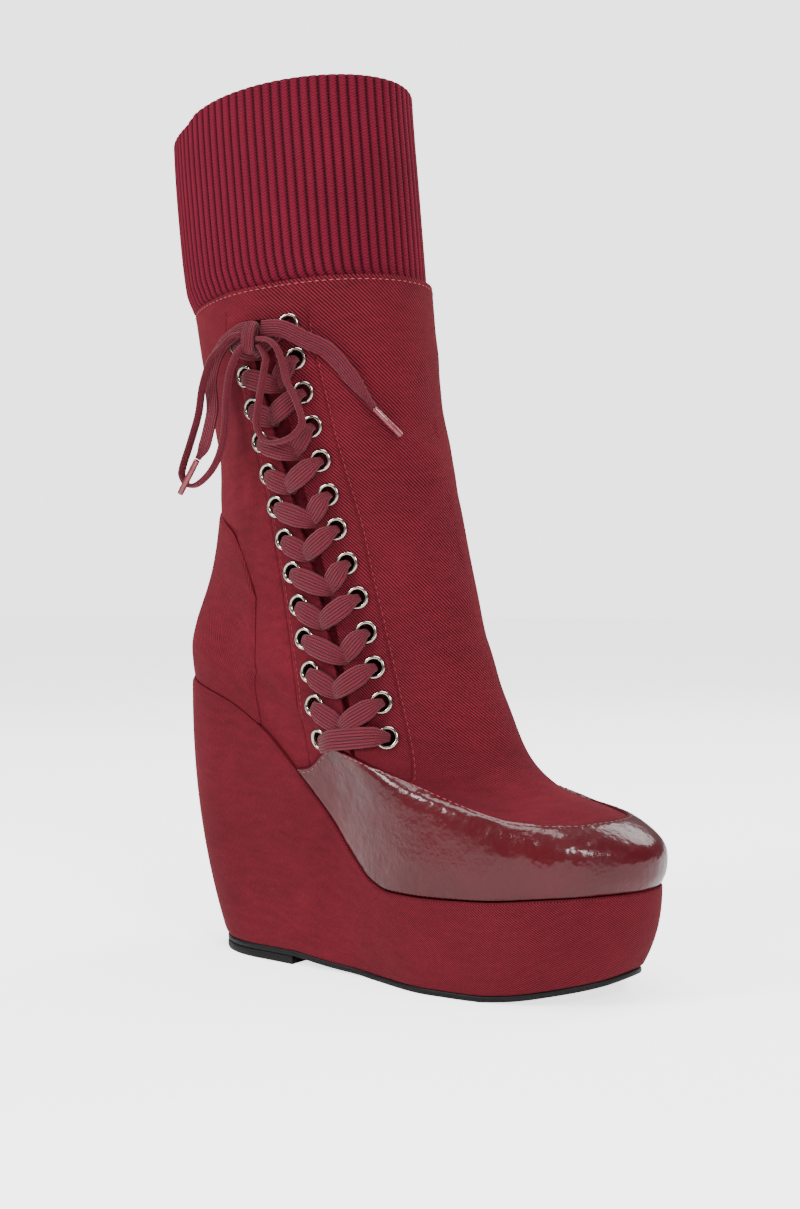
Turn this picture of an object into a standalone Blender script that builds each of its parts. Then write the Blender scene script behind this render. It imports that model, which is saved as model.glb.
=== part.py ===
"""Wedge ankle boot for the right foot, laced on its outer side, with a knit cuff and a covered wedge.

Metres, +Z up. The toe points to +X, the outer side of the foot is -Y, and the floor is Z = 0 with the
middle of the heel's tread at X = 0.
"""

import math

import bmesh
import bpy
from mathutils import Matrix, Quaternion, Vector
from mathutils.bvhtree import BVHTree

mm = 0.001

# Driving sizes of the last and the upper
last_length = 223.0 * mm      # heel seat to toe, along the feather line
ball_width = 84.0 * mm
heel_width = 60.0 * mm
waist_width = 84.0 * mm       # across the instep and ankle, before the section's own share
collar_width = 90.0 * mm
heel_height = 124.0 * mm      # floor to the feather line at the back
platform_height = 39.2 * mm   # floor to the feather line at the ball
instep_height = 95.0 * mm     # toe's feather line to the front of the ankle
shaft_front = 249.5 * mm      # toe's feather line to the collar's front
shaft_back = 160.0 * mm       # heel's feather line to the collar's back
heel_back = -42.5 * mm        # X of the heel seat's back
toe_swing = 9.0 * mm          # the forefoot's lean to the inner side
swing_start = 20.0 * mm       # X where the lean begins
swing_run = 160.0 * mm
waist_at = 0.42               # share of a section where it is waist_width across
heel_until = 0.13             # and up to where it is heel_width across
ball_at = {"out": 0.66, "in": 0.70}
feather_fade = 6.0            # the section where the arch of the feather line has faded out
wall = 2.0 * mm               # twill and its lining
clearance = 0.3 * mm          # between pieces that touch

# Sole
outsole_thickness = 2.3 * mm
toe_spring = 10.2 * mm
arch_rise = 3.6 * mm          # the outsole's lift off the floor at the heel
seat_gap = 0.5 * mm           # the upper's lower edge over the wedge
wedge_shoulder = 0.8 * mm
welt = 2.2 * mm               # the wedge's ledge outside the upper
lift_front = 28.0 * mm        # X of the heel lift's straight front
insole_thickness = 3.0 * mm
insole_rest = 0.2 * mm        # its underside over the feather line
insole_margin = 0.8 * mm      # between it and the upper's wall
outsole_inset = 0.4 * mm      # inside the wedge's foot

# Overlays, lacing and cuff
eyestay_step = 0.7 * mm
step_run = 1.2 * mm
mudguard_thickness = 1.2 * mm
counter_thickness = 0.9 * mm
gusset_thickness = 1.2 * mm
gusset_reach = 11.0 * mm      # past the slit's middle, each way
slit_top = 5.4 * mm           # half of the slit's gap at the collar
slit_foot = 1.2 * mm
eyelet_levels = 13
eyelet_sides = 8
eyelet_outer = 4.7 * mm       # radius of the flange
eyelet_barrel = 3.1 * mm
eyelet_bore = 2.6 * mm
eyelet_crown = 0.8 * mm
flange_seat = clearance + 0.1 * mm
barrel_end = 0.2 * mm         # past the wall's inner face
hole_radius = eyelet_barrel + clearance + 0.35 * mm
gusset_drop = clearance + 0.1 * mm
lace_width = 9.0 * mm
lace_thickness = 1.5 * mm
lace_gap = 0.9 * mm           # between a strip's middle and the facets under it
strip_lying = eyestay_step + lace_gap + lace_thickness / 2
strip_riding = strip_lying + flange_seat + eyelet_crown
aglet_radius = 1.3 * mm
knot_size = Vector((7.0, 6.0, 12.0)) * mm
cuff_height = 86.0 * mm
cuff_thickness = 3.0 * mm

# Feather line: share of the last length from the heel, share of the climb from platform to heel.
feather_line = [
    [0.000, 1.000], [0.063, 0.958], [0.157, 0.880], [0.256, 0.735], [0.345, 0.530], [0.389, 0.416],
    [0.437, 0.278], [0.482, 0.143], [0.527, 0.045], [0.581, 0.002], [0.650, 0.000], [0.780, 0.012],
    [0.890, 0.040], [1.000, 0.063]]

# Sections of the upper from the feather line to the collar. Back and front are the ends of the section:
# shares of the last length, and of shaft_back or (0 to 1) instep_height and (1 to 2) the shaft above it.
# Heel, waist and ball are half widths on the outer and inner side, as shares of heel_width, waist_width and
# ball_width. The rounding at each end is a share of the section, and sag bends the section below the
# straight line from front to back.
section_names = (
    "back_x", "back_rise", "front_x", "front_rise", "heel_out", "heel_in", "waist_out", "waist_in",
    "ball_out", "ball_in", "back_round", "front_round", "sag")
sections = [
    [0.000, 0.000, 1.000, 0.000, 0.467, 0.467, 0.345, 0.300, 0.488, 0.476, 0.15, 0.26, 1.00],
    [-.005, 0.044, 1.011, 0.068, 0.490, 0.490, 0.365, 0.333, 0.512, 0.500, 0.16, 0.27, 1.00],
    [-.007, 0.100, 1.007, 0.157, 0.505, 0.505, 0.385, 0.369, 0.512, 0.500, 0.17, 0.28, 1.05],
    [0.003, 0.163, 0.966, 0.236, 0.505, 0.505, 0.405, 0.393, 0.500, 0.488, 0.19, 0.31, 1.20],
    [0.015, 0.213, 0.897, 0.294, 0.505, 0.505, 0.417, 0.417, 0.476, 0.470, 0.22, 0.36, 1.45],
    [0.028, 0.263, 0.814, 0.363, 0.505, 0.505, 0.429, 0.429, 0.458, 0.458, 0.26, 0.41, 1.60],
    [0.041, 0.325, 0.751, 0.489, 0.507, 0.507, 0.429, 0.429, 0.440, 0.440, 0.32, 0.45, 1.50],
    [0.054, 0.406, 0.706, 0.710, 0.527, 0.527, 0.429, 0.429, 0.429, 0.429, 0.38, 0.48, 1.30],
    [0.064, 0.500, 0.659, 1.000, 0.567, 0.567, 0.435, 0.435, 0.429, 0.429, 0.44, 0.50, 1.12],
    [0.061, 0.613, 0.623, 1.204, 0.617, 0.617, 0.452, 0.452, 0.440, 0.440, 0.48, 0.50, 1.00],
    [0.049, 0.744, 0.587, 1.437, 0.667, 0.667, 0.488, 0.488, 0.464, 0.464, 0.50, 0.50, 1.00],
    [0.031, 0.875, 0.549, 1.689, 0.717, 0.717, 0.518, 0.518, 0.500, 0.500, 0.50, 0.50, 1.00],
    [0.016, 1.000, 0.525, 2.000, 0.750, 0.750, 0.542, 0.542, 0.524, 0.524, 0.50, 0.50, 1.00]]
collar = len(sections) - 1

# Lines on the outer side, seen from the side: share of shaft_front above the platform, share of the last
# length.
slit_line = [
    [0.220, 0.502], [0.304, 0.478], [0.418, 0.446], [0.531, 0.413], [0.643, 0.377], [0.749, 0.348],
    [0.957, 0.294]]
front_eyelet_line = [
    [0.246, 0.564], [0.370, 0.526], [0.481, 0.491], [0.593, 0.451], [0.704, 0.422], [0.818, 0.391],
    [0.933, 0.364]]
rear_eyelet_line = [
    [0.240, 0.418], [0.301, 0.410], [0.411, 0.385], [0.522, 0.358], [0.636, 0.324], [0.739, 0.297],
    [0.909, 0.253]]
front_seam_line = [
    [0.185, 0.622], [0.265, 0.591], [0.414, 0.543], [0.509, 0.515], [0.589, 0.495], [0.733, 0.449],
    [0.926, 0.400]]
rear_groove_line = [
    [0.200, 0.377], [0.307, 0.365], [0.380, 0.352], [0.519, 0.325], [0.655, 0.297], [0.730, 0.279],
    [0.936, 0.219]]

# Mudguard's upper edge: share of the way round from the back to the toe, section number.
mudguard_edge = [
    [0.400, 0.15], [0.425, 0.90], [0.444, 1.50], [0.473, 2.20], [0.501, 2.80], [0.560, 4.05], [0.640, 4.15],
    [0.690, 3.42], [0.740, 3.07], [0.850, 3.25], [0.930, 3.43], [1.000, 3.45]]

# Heel counter: section number, share of the way round at its side edge; then share of the way round, how
# far its top corner stands below the counter's top section.
counter_side = [[0.0, 0.333], [2.0, 0.331], [5.0, 0.359], [6.1, 0.371], [6.9, 0.376]]
counter_drop = [[0.27, 0.0], [0.335, 0.30], [0.376, 0.85]]

# Covered wedge: share of the side's height, share of the way out from the bottom edge to the top edge.
wedge_side = (0.0, 0.08, 0.20, 0.40, 0.65, 0.88, 0.97, 1.0)
wedge_bulge = 2.3

# Outsole's underside: share of the last length, share of arch_rise (behind the ball) or of toe_spring.
tread_line = [[0.325, 1.00], [0.415, 0.42], [0.513, 0.00]]
spring_line = [[0.765, 0.00], [0.818, 0.12], [0.881, 0.38], [0.948, 0.71], [0.984, 1.00], [1.02, 1.18]]

# Cuff above the collar: rise, back and front as shares of the last length, half width as a share of
# collar_width.
cuff_sections = [
    [0.045, 0.004, 0.512, 0.484], [0.14, -.013, 0.509, 0.488], [0.55, -.036, 0.495, 0.489],
    [0.85, -.047, 0.484, 0.489], [0.985, -.050, 0.480, 0.489]]
# Height of the rim: share of the section, share of the cuff's height off the straight line from back to
# front.
rim_wave = [
    [0.0, -.064], [0.10, -.070], [0.25, -.064], [0.34, -.028], [0.50, -.012], [0.75, -.006], [1.0, 0.0]]

# A lace strip from its eyelet down to the slit: share of the way, share of lace_width, then how high the
# strip on top and the one under it are, from lying on the eyestay (0) to riding over an eyelet's flange
# (1).
strip_shape = [
    (0.00, 0.55, 1.00, 1.00), (0.25, 1.00, 1.00, 0.85), (0.55, 1.00, 0.88, 0.05), (1.00, 0.90, 0.05, 0.00)]
bar_shape = [(0.0, 0.55, 1.8), (0.2, 1.0, 1.55), (0.5, 1.0, 0.5), (0.8, 1.0, 1.55), (1.0, 0.55, 1.8)]
strip_foot = 0.246            # where the lowest strips would end in the slit, as a share of shaft_front
strip_climb = 0.687           # and how far up the highest ones end, as a share of shaft_front above that
strip_drop = 0.84             # levels from a strip's eyelet down to its lower end
top_reach = 5.5 * mm          # how far the top strip runs past the slit's middle
under_stop = 1.0 * mm         # and how far the strip under it stops before the middle

# Routes of the free laces in mm, chosen by hand. Each starts at the knot.
knot_place = (27.7, -51.8, 266.3)
loop_middle = [
    (31.6, -52.2, 265.3), (36.4, -51.1, 264.6), (39.8, -49.6, 261.0), (41.4, -48.0, 255.0),
    (43.1, -46.9, 247.0), (46.5, -45.4, 239.5), (49.0, -44.4, 231.5), (48.0, -44.4, 227.9),
    (43.9, -45.5, 224.3), (38.1, -46.9, 222.5), (33.0, -47.9, 222.7), (30.1, -48.9, 225.7),
    (28.6, -49.5, 230.8), (29.6, -49.8, 237.0), (31.4, -50.0, 244.3), (33.2, -50.0, 252.5),
    (34.2, -50.2, 257.6), (31.5, -51.2, 262.8)]
loop_left = [
    (23.9, -52.6, 268.2), (19.0, -54.0, 267.1), (14.2, -55.2, 263.1), (9.1, -55.4, 259.1),
    (6.3, -55.2, 255.1), (2.8, -55.0, 246.5), (0.6, -55.0, 235.6), (-4.2, -55.0, 223.6),
    (-8.3, -55.0, 214.4), (-8.9, -55.0, 210.1), (-5.4, -55.0, 206.1), (0.0, -54.6, 206.3),
    (7.0, -54.0, 211.5), (11.7, -53.6, 218.9), (14.6, -53.6, 229.3), (15.6, -54.0, 240.1),
    (17.3, -54.0, 250.9), (20.6, -53.8, 258.5), (24.3, -52.9, 263.0)]
end_right = [
    (31.3, -49.5, 269.9), (40.1, -47.0, 269.4), (48.7, -42.2, 264.7), (57.0, -36.3, 259.5),
    (64.9, -30.7, 248.3), (71.8, -25.5, 236.7)]
end_left = [
    (24.5, -48.8, 270.9), (19.6, -49.4, 270.3), (15.5, -49.5, 268.5), (10.0, -49.4, 265.3),
    (5.5, -49.8, 258.8), (3.6, -50.4, 249.6), (5.8, -51.8, 238.6), (6.6, -54.8, 229.7), (6.3, -57.5, 221.5),
    (3.6, -58.5, 216.5)]
aglet_right = [(72.0, -25.4, 236.3), (80.2, -17.6, 224.9)]
aglet_left = [(3.4, -58.7, 216.0), (-5.7, -59.6, 202.0)]

# Outline of the tread and of the wedge's foot, in the same columns as the sections of the upper.
tread_section = dict(zip(section_names, [
    0.074, 0.0, 0.973, 0.0, 0.417, 0.417, 0.325, 0.300, 0.470, 0.458, 0.17, 0.29, 1.0]))

laced_side = (0.12, 0.92)     # the outer side between back and toe, where lines are looked for
slit_end = collar - 0.38      # the section where the collar band closes the slit
below_slit = 4                # the row of the upper's mesh at the slit's foot
climb = (0, 0.08, 0.17, 0.27, 0.37, 0.47, 0.55, 0.63, 0.74, 0.87, 1)
row_count = below_slit + len(climb) + 1
slit_column = 12              # of laced_columns
raised_columns = range(9, 17)


def smooth(t):
    t = min(max(t, 0.0), 1.0)
    return t * t * (3 - 2 * t)


def read(table, x):
    """A smooth line through a table's two columns, with no overshoot and level past its ends."""
    if x <= table[0][0]:
        return table[0][1]
    if x >= table[-1][0]:
        return table[-1][1]
    slopes = [(b[1] - a[1]) / (b[0] - a[0]) for a, b in zip(table, table[1:])]
    i = 0
    while x > table[i + 1][0]:
        i += 1

    def tangent(k):
        if k == 0 or k == len(table) - 1:
            return slopes[0 if k == 0 else -1]
        before, after = slopes[k - 1], slopes[k]
        return 0.0 if before * after <= 0 else 2 * before * after / (before + after)

    span = table[i + 1][0] - table[i][0]
    t = (x - table[i][0]) / span
    return ((2 * t**3 - 3 * t**2 + 1) * table[i][1] + (t**3 - 2 * t**2 + t) * span * tangent(i)
            + (3 * t**2 - 2 * t**3) * table[i + 1][1] + (t**3 - t**2) * span * tangent(i + 1))


def feather_height(share):
    return platform_height + (heel_height - platform_height) * read(feather_line, share)


def section_at(v):
    """The section at a fractional number, on a smooth curve through its neighbours."""
    v = min(max(v, 0.0), float(collar))
    i = min(int(v), collar - 1)
    t = v - i
    low, high = sections[i], sections[i + 1]
    before = sections[i - 1] if i > 0 else [2 * a - b for a, b in zip(low, high)]
    after = sections[i + 2] if i + 2 <= collar else [2 * b - a for a, b in zip(low, high)]
    values = [
        0.5 * (2 * b + (c - a) * t + (2 * a - 5 * b + 4 * c - d) * t**2 + (3 * b - a - 3 * c + d) * t**3)
        for a, b, c, d in zip(before, low, high, after)]
    return dict(zip(section_names, values))


def half_width(section, share, outer, grow=0.0):
    """Half of a section's breadth at a share of its length: three widths and the rounding at each end."""
    side = "out" if outer else "in"
    heel = section["heel_" + side] * heel_width + grow
    waist = section["waist_" + side] * waist_width + grow
    ball = section["ball_" + side] * ball_width + grow
    if share < waist_at:
        width = heel + (waist - heel) * smooth((share - heel_until) / (waist_at - heel_until))
    else:
        width = waist + (ball - waist) * smooth((share - waist_at) / (ball_at[side] - waist_at))
    back = 1 - min(share / section["back_round"], 1)
    front = 1 - min((1 - share) / section["front_round"], 1)
    return width * math.sqrt(max(0.0, 1 - back**2)) * math.sqrt(max(0.0, 1 - front**2))


def swing(x):
    return toe_swing * smooth((x - swing_start) / swing_run)


def side_point(section, around, back_x, front_x, grow=0.0):
    """X and Y on a section: around is 0 at the back, 1 at the toe and 2 at the back again."""
    share = (1 - math.cos(math.pi * around)) / 2
    outer = around <= 1
    x = back_x + (front_x - back_x) * share
    y = half_width(section, share, outer, grow) * (-1 if outer else 1) + swing(x)
    return share, x, y


def skin(around, v):
    """The upper's outer surface."""
    around %= 2.0
    section = section_at(v)
    back_x = heel_back + section["back_x"] * last_length
    front_x = heel_back + section["front_x"] * last_length
    share, x, y = side_point(section, around, back_x, front_x)
    toe = feather_height(1.0)
    rise = section["front_rise"]
    front_z = toe + instep_height * min(rise, 1) + (shaft_front - instep_height) * max(rise - 1, 0)
    back_z = heel_height + section["back_rise"] * shaft_back
    z = front_z + (back_z - front_z) * (1 - share) ** section["sag"]
    dip = feather_height(share) - (toe + (heel_height - toe) * (1 - share))
    return Vector((x, y, z + dip * (1 - min(v / feather_fade, 1)) ** 1.5))


def outward(around, v):
    low, high = max(v - 0.1, 0), min(v + 0.1, collar)
    along = skin(around + 0.01, v) - skin(around - 0.01, v)
    return along.cross(skin(around, high) - skin(around, low)).normalized()


def off_skin(around, v, distance):
    return skin(around, v) + outward(around, v) * distance


def line_x(line, z, shift=0.0):
    return heel_back + read(line, (z - platform_height) / shaft_front) * last_length + shift


def around_at(line, v, shift=0.0):
    """Where a side-view line crosses section v on the outer side."""
    low, high = laced_side
    for _ in range(40):
        middle = (low + high) / 2
        point = skin(middle, v)
        if point.x < line_x(line, point.z, shift):
            low = middle
        else:
            high = middle
    return (low + high) / 2


def slit_half(z):
    share = (z - platform_height) / shaft_front
    low, high = slit_line[0][0], slit_line[-1][0]
    return slit_foot + (slit_top - slit_foot) * min(max((share - low) / (high - low), 0), 1)


def slit_side(v, sign):
    """Where the slit's front (+1) or rear (-1) edge crosses section v."""
    middle = skin(around_at(slit_line, v), v)
    return around_at(slit_line, v, sign * slit_half(middle.z))


def on_side(line, z, shift=0.0):
    """The place on the outer side with this height on a side-view line: around, section."""
    low, high = 2.0, float(collar)
    for _ in range(40):
        v = (low + high) / 2
        if skin(around_at(line, v, shift), v).z < z:
            low = v
        else:
            high = v
    v = (low + high) / 2
    return around_at(line, v, shift), v


def between(a, b, count):
    return [a + (b - a) * (i + 1) / (count + 1) for i in range(count)]


def edge_row(around):
    """The section that the upper's mesh follows along the mudguard's edge, on both sides of the foot."""
    return max(read(mudguard_edge, around if around <= 1 else 2 - around), 1.0)


def plain_columns(v):
    """Columns of one side without the slit and steps, from the back to the toe."""
    groove, slit, seam = (around_at(line, v) for line in (rear_groove_line, slit_line, front_seam_line))
    back = [0.0] + between(0, groove, 7) + [groove] + between(groove, slit, 2)
    return back + [slit] + between(slit, seam, 2) + [seam] + between(seam, 1, 6) + [1.0]


def laced_columns(v):
    """The outer side's columns: pairs stand at the slit and at each step of the eyestays."""
    groove, seam = around_at(rear_groove_line, v), around_at(front_seam_line, v)
    groove_top, seam_top = around_at(rear_groove_line, v, step_run), around_at(front_seam_line, v, -step_run)
    rear, front = slit_side(v, -1), slit_side(v, 1)
    back = [0.0] + between(0, groove, 7) + [groove, groove_top] + between(groove_top, rear, 2)
    return back + [rear, front] + between(front, seam_top, 2) + [seam_top, seam] + between(seam, 1, 6) + [1.0]


def ring_columns():
    """The same places round the foot for the wedge, sole and insole, in pairs across the foot."""
    side = plain_columns(0.0)
    return side + [2 - a for a in side[-2:0:-1]]


def new_material(name, colour, roughness, metallic=0.0):
    material = bpy.data.materials.new(name)
    material.use_nodes = True
    shader = material.node_tree.nodes["Principled BSDF"]
    shader.inputs["Base Color"].default_value = (*colour, 1.0)
    shader.inputs["Roughness"].default_value = roughness
    shader.inputs["Metallic"].default_value = metallic
    return material


def new_object(name, mesh, look, home):
    obj = bpy.data.objects.new(name, mesh)
    home.objects.link(obj)
    if look:
        mesh.materials.append(look)
    return obj


def finished(bm, name):
    bmesh.ops.recalc_face_normals(bm, faces=bm.faces)
    mesh = bpy.data.meshes.new(name)
    bm.to_mesh(mesh)
    bm.free()
    return mesh


def split(bm, a, b, c, d, other_way=False):
    """Two triangles for four corners. Pieces that lie on each other are split the same way."""
    if other_way:
        bm.faces.new((a, b, d))
        bm.faces.new((b, c, d))
    else:
        bm.faces.new((a, b, c))
        bm.faces.new((a, c, d))


def loft(name, rings, caps=None, skip=None):
    """Faces between rings of points. caps is ladder (rungs across the foot), strip, flat or loop."""
    bm = bmesh.new()
    rows = [[bm.verts.new(point) for point in ring] for ring in rings]
    count = len(rows[0])
    pairs = list(zip(rows, rows[1:]))
    if caps == "loop":
        pairs.append((rows[-1], rows[0]))
    for r, (low, high) in enumerate(pairs):
        for k in range(count):
            if skip and skip(r, k):
                continue
            n = (k + 1) % count
            split(bm, low[k], low[n], high[n], high[k], caps == "strip" and k >= count // 2)
    if caps == "ladder":
        for row in (rows[0], rows[-1]):
            bm.faces.new((row[0], row[1], row[-1]))
            for k in range(1, count // 2 - 1):
                bm.faces.new((row[k], row[k + 1], row[count - k - 1], row[count - k]))
            half = count // 2
            bm.faces.new((row[half - 1], row[half], row[half + 1]))
    if caps == "strip":
        for row in (rows[0], rows[-1]):
            for k in range(count // 2 - 1):
                bm.faces.new((row[k], row[k + 1], row[count - k - 2], row[count - k - 1]))
    if caps == "flat":
        bm.faces.new(rows[0])
        bm.faces.new(rows[-1])
    for vertex in [v for v in bm.verts if not v.link_faces]:
        bm.verts.remove(vertex)
    return finished(bm, name)


def thicken(obj, thickness):
    """A wall under the modelled surface, which stays the outer face."""
    solid = obj.modifiers.new("wall", "SOLIDIFY")
    solid.thickness = thickness
    solid.offset = -1
    return solid


def settle(obj):
    """Replace an object's mesh by the result of its modifiers."""
    bpy.context.view_layer.update()
    mesh = bpy.data.meshes.new_from_object(obj.evaluated_get(bpy.context.evaluated_depsgraph_get()))
    obj.modifiers.clear()
    obj.data = mesh


def cut(obj, cutter, operation="DIFFERENCE"):
    boolean = obj.modifiers.new("cut", "BOOLEAN")
    boolean.operation = operation
    boolean.solver = "EXACT"
    boolean.object = cutter
    settle(obj)


def upper_rows(around):
    """Sections that the upper's mesh passes through in one column, from the sole to the collar."""
    edge = edge_row(around)
    start = edge + 0.25
    return ([edge * share for share in (0, 0.3, 0.65, 1)] + [start + (slit_end - start) * g for g in climb]
            + [float(collar)])


def mesh_place(columns, k, r):
    """Where column k of the upper's mesh meets its row r: around, section."""
    around = columns(upper_rows(0.5)[r])[k]
    for _ in range(3):
        around = columns(upper_rows(around)[r])[k]
    return around, upper_rows(around)[r]


def make_upper(look, home):
    outer_count, inner_count = len(laced_columns(0.0)), len(plain_columns(0.0))
    rings = []
    for r in range(row_count):
        ring = []
        for k in range(outer_count):
            around, v = mesh_place(laced_columns, k, r)
            raised = below_slit <= r < row_count - 1 and k in raised_columns
            ring.append(off_skin(around, v, eyestay_step if raised else 0.0))
        for k in range(inner_count - 2, 0, -1):
            around, v = mesh_place(plain_columns, k, r)
            ring.append(skin(2 - around, v))
        rings.append(ring)
    mesh = loft("upper", rings, skip=lambda r, k: k == slit_column and below_slit <= r < row_count - 2)
    upper = new_object("upper", mesh, look, home)
    thicken(upper, wall)
    settle(upper)
    return upper


def band_ring(places, low, high):
    """Section of a band that lies between two heights off the skin."""
    return [off_skin(a, v, high) for a, v in places] + [off_skin(a, v, low) for a, v in places[::-1]]


def make_band(name, columns, low, high, look, home):
    rings = [band_ring(places, low, high) for places in columns]
    new_object(name, loft(name, rings, caps="strip"), look, home)


def make_mudguard(look, home):
    shares = (0, 0.3, 0.65, 1)
    groove = 8
    back_end, foot = mudguard_edge[0]
    stub = [(back_end, foot * share) for share in (0.4, 0.6, 0.8, 1)]
    both = []
    for columns in (laced_columns, plain_columns):
        side = [stub]
        for k in range(groove, len(columns(0.0))):
            places = [mesh_place(columns, k, r)[0] for r in range(below_slit)]
            side.append([(a, max(read(mudguard_edge, a) * share, 0.08)) for a, share in zip(places, shares)])
        both.append(side)
    inner_side = [[(2 - a, v) for a, v in column] for column in both[1][-2::-1]]
    make_band("mudguard", both[0] + inner_side, clearance, clearance + mudguard_thickness, look, home)


def make_counter(look, home):
    aligned, rows = 6, below_slit + 8
    side = []
    for k in range(aligned):
        column = [mesh_place(plain_columns, k, r) for r in range(rows)]
        column[0] = (column[0][0], 0.08)
        side.append(column)
    end = counter_drop[-1][0]
    for corner, drop in counter_drop[1:]:
        column = []
        for r, (_, v) in enumerate(side[0]):
            v = v - drop if r == rows - 1 else min(v, side[0][-1][1] - drop - 0.1 * (rows - 1 - r))
            column.append((read(counter_side, v) - (end - corner), v))
        side.append(column)
    both = [[(-a, v) for a, v in column] for column in side[:0:-1]] + side
    make_band("heel_counter", both, clearance, clearance + counter_thickness, look, home)


def make_gusset(look, home):
    columns = []
    for share in (-1, -0.5, 0, 0.5, 1):
        shift = gusset_reach * share
        column = []
        for r in range(below_slit - 1, row_count - 1):
            around = around_at(slit_line, upper_rows(0.55)[r], shift)
            v = upper_rows(around)[r] + (0.04 if r == row_count - 2 else 0.0)
            column.append((around_at(slit_line, v, shift), v))
        columns.append(column)
    top = -wall - gusset_drop
    make_band("gusset", columns, top - gusset_thickness, top, look, home)


def cuff_ring(around_list, rise, back, front, width, inset):
    low, high = skin(0.0, collar), skin(1.0, collar)
    back_x, front_x = heel_back + back * last_length + inset, heel_back + front * last_length - inset
    ring = []
    for around in around_list:
        share = (1 - math.cos(math.pi * around)) / 2
        x = back_x + (front_x - back_x) * share
        half = (width * collar_width - inset) * 2 * math.sqrt(max(share * (1 - share), 0.0))
        z = low.z + (high.z - low.z) * share + rise * cuff_height * (1 + read(rim_wave, share))
        ring.append(Vector((x, half * (-1 if around <= 1 else 1) + swing(x), z)))
    return ring


def make_cuff(look, home):
    """A folded tube of knit that starts inside the collar and rolls over to a rounded rim."""
    top = row_count - 1
    places = [mesh_place(laced_columns, k, top)[0] for k in range(len(laced_columns(0.0)))]
    places += [2 - mesh_place(plain_columns, k, top)[0] for k in range(len(plain_columns(0.0)) - 2, 0, -1)]
    outside, inside = [], []
    for v in (slit_end + 0.07, float(collar)):
        outside.append([off_skin(a, v, -wall - clearance) for a in places])
        inside.append([off_skin(a, v, -wall - clearance - cuff_thickness) for a in places])
    outside += [cuff_ring(places, *row, 0.0) for row in cuff_sections]
    inside += [cuff_ring(places, *row, cuff_thickness) for row in cuff_sections]
    rim_shape = cuff_sections[-1][1:]
    rim = [cuff_ring(places, 1.0, *rim_shape, cuff_thickness * share) for share in (0.25, 0.75)]
    mesh = loft("knit_cuff", outside + rim + inside[::-1], caps="loop")
    new_object("knit_cuff", mesh, look, home)


def sole_under(x):
    """Height of the outsole's underside."""
    share = (x - heel_back) / last_length
    if share < 0.6:
        return arch_rise * read(tread_line, share)
    return toe_spring * read(spring_line, share)


def tread_point(around, grow=0.0):
    back_x = heel_back + tread_section["back_x"] * last_length - grow
    front_x = heel_back + tread_section["front_x"] * last_length + grow
    return side_point(tread_section, around, back_x, front_x, grow)[1:]


def seat_point(around, grow):
    """A point beside the upper's lower edge, grow outside it."""
    back_x, front_x = heel_back - grow, heel_back + last_length + grow
    return side_point(section_at(0.0), around, back_x, front_x, grow)[1:]


def seat_height(x):
    return feather_height(min(max((x - heel_back) / last_length, 0.0), 1.0))


def make_wedge(look, home):
    rings = []
    for height in wedge_side:
        bulge = 1 - (1 - height) ** wedge_bulge
        grow = welt - (wedge_shoulder if height == 1.0 else 0.0)
        ring = []
        for around in ring_columns():
            low_x, low_y = tread_point(around)
            high_x, high_y = seat_point(around, grow)
            low_z = sole_under(low_x) + outsole_thickness + clearance
            high_z = seat_height(high_x) - seat_gap
            ring.append(Vector((
                low_x + (high_x - low_x) * bulge, low_y + (high_y - low_y) * bulge,
                low_z + (high_z - low_z) * height)))
        rings.append(ring)
    new_object("wedge_platform", loft("wedge_platform", rings, caps="ladder"), look, home)


def make_outsole(look, home):
    rings = []
    for rise in (0.0, outsole_thickness):
        ring = []
        for around in ring_columns():
            x, y = tread_point(around, -outsole_inset)
            ring.append(Vector((x, y, sole_under(x) + rise)))
        rings.append(ring)
    new_object("outsole", loft("outsole", rings, caps="ladder"), look, home)


def make_heel_lift(look, home):
    back_x = heel_back + tread_section["back_x"] * last_length
    front_x = heel_back + tread_section["front_x"] * last_length
    reach = math.acos(1 - 2 * (lift_front - back_x) / (front_x - back_x)) / math.pi
    steps = 10
    outline = []
    for k in range(-steps, steps + 1):
        x, y = tread_point((reach * k / steps) % 2.0, -outsole_inset)
        outline.append((x, y))
    rings = [[Vector((x, y, z)) for x, y in outline] for z in (0.0, arch_rise - clearance)]
    new_object("heel_lift", loft("heel_lift", rings, caps="flat"), look, home)


def make_insole(look, home):
    rings = []
    for rise in (insole_rest, insole_rest + insole_thickness):
        ring = []
        for around in ring_columns():
            x, y = seat_point(around, -wall - insole_margin)
            ring.append(Vector((x, y, seat_height(x) + rise)))
        rings.append(ring)
    new_object("insole", loft("insole", rings, caps="ladder"), look, home)


def eyelet_place(line, level):
    """An eyelet's centre on the eyestay and the way out of it."""
    low, high = line[0][0], line[-1][0]
    share = low + (high - low) * level / (eyelet_levels - 1)
    around, v = on_side(line, platform_height + share * shaft_front)
    return off_skin(around, v, eyestay_step), outward(around, v)


def seated(shell, centre, out, radius):
    """The centre moved along the way out until a ring of this radius rests on the shell."""
    across = out.orthogonal().normalized()
    heights = []
    rays = 16
    for k in range(rays):
        arm = across.copy()
        arm.rotate(Quaternion(out, 2 * math.pi * k / rays))
        for share in (0.75, 1.0):
            start = centre + arm * radius * share + out * 2 * radius
            hit = shell.ray_cast(start, -out, 4 * radius)[0]
            if hit:
                heights.append((hit - centre).dot(out))
    return centre + out * max(heights)


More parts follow.
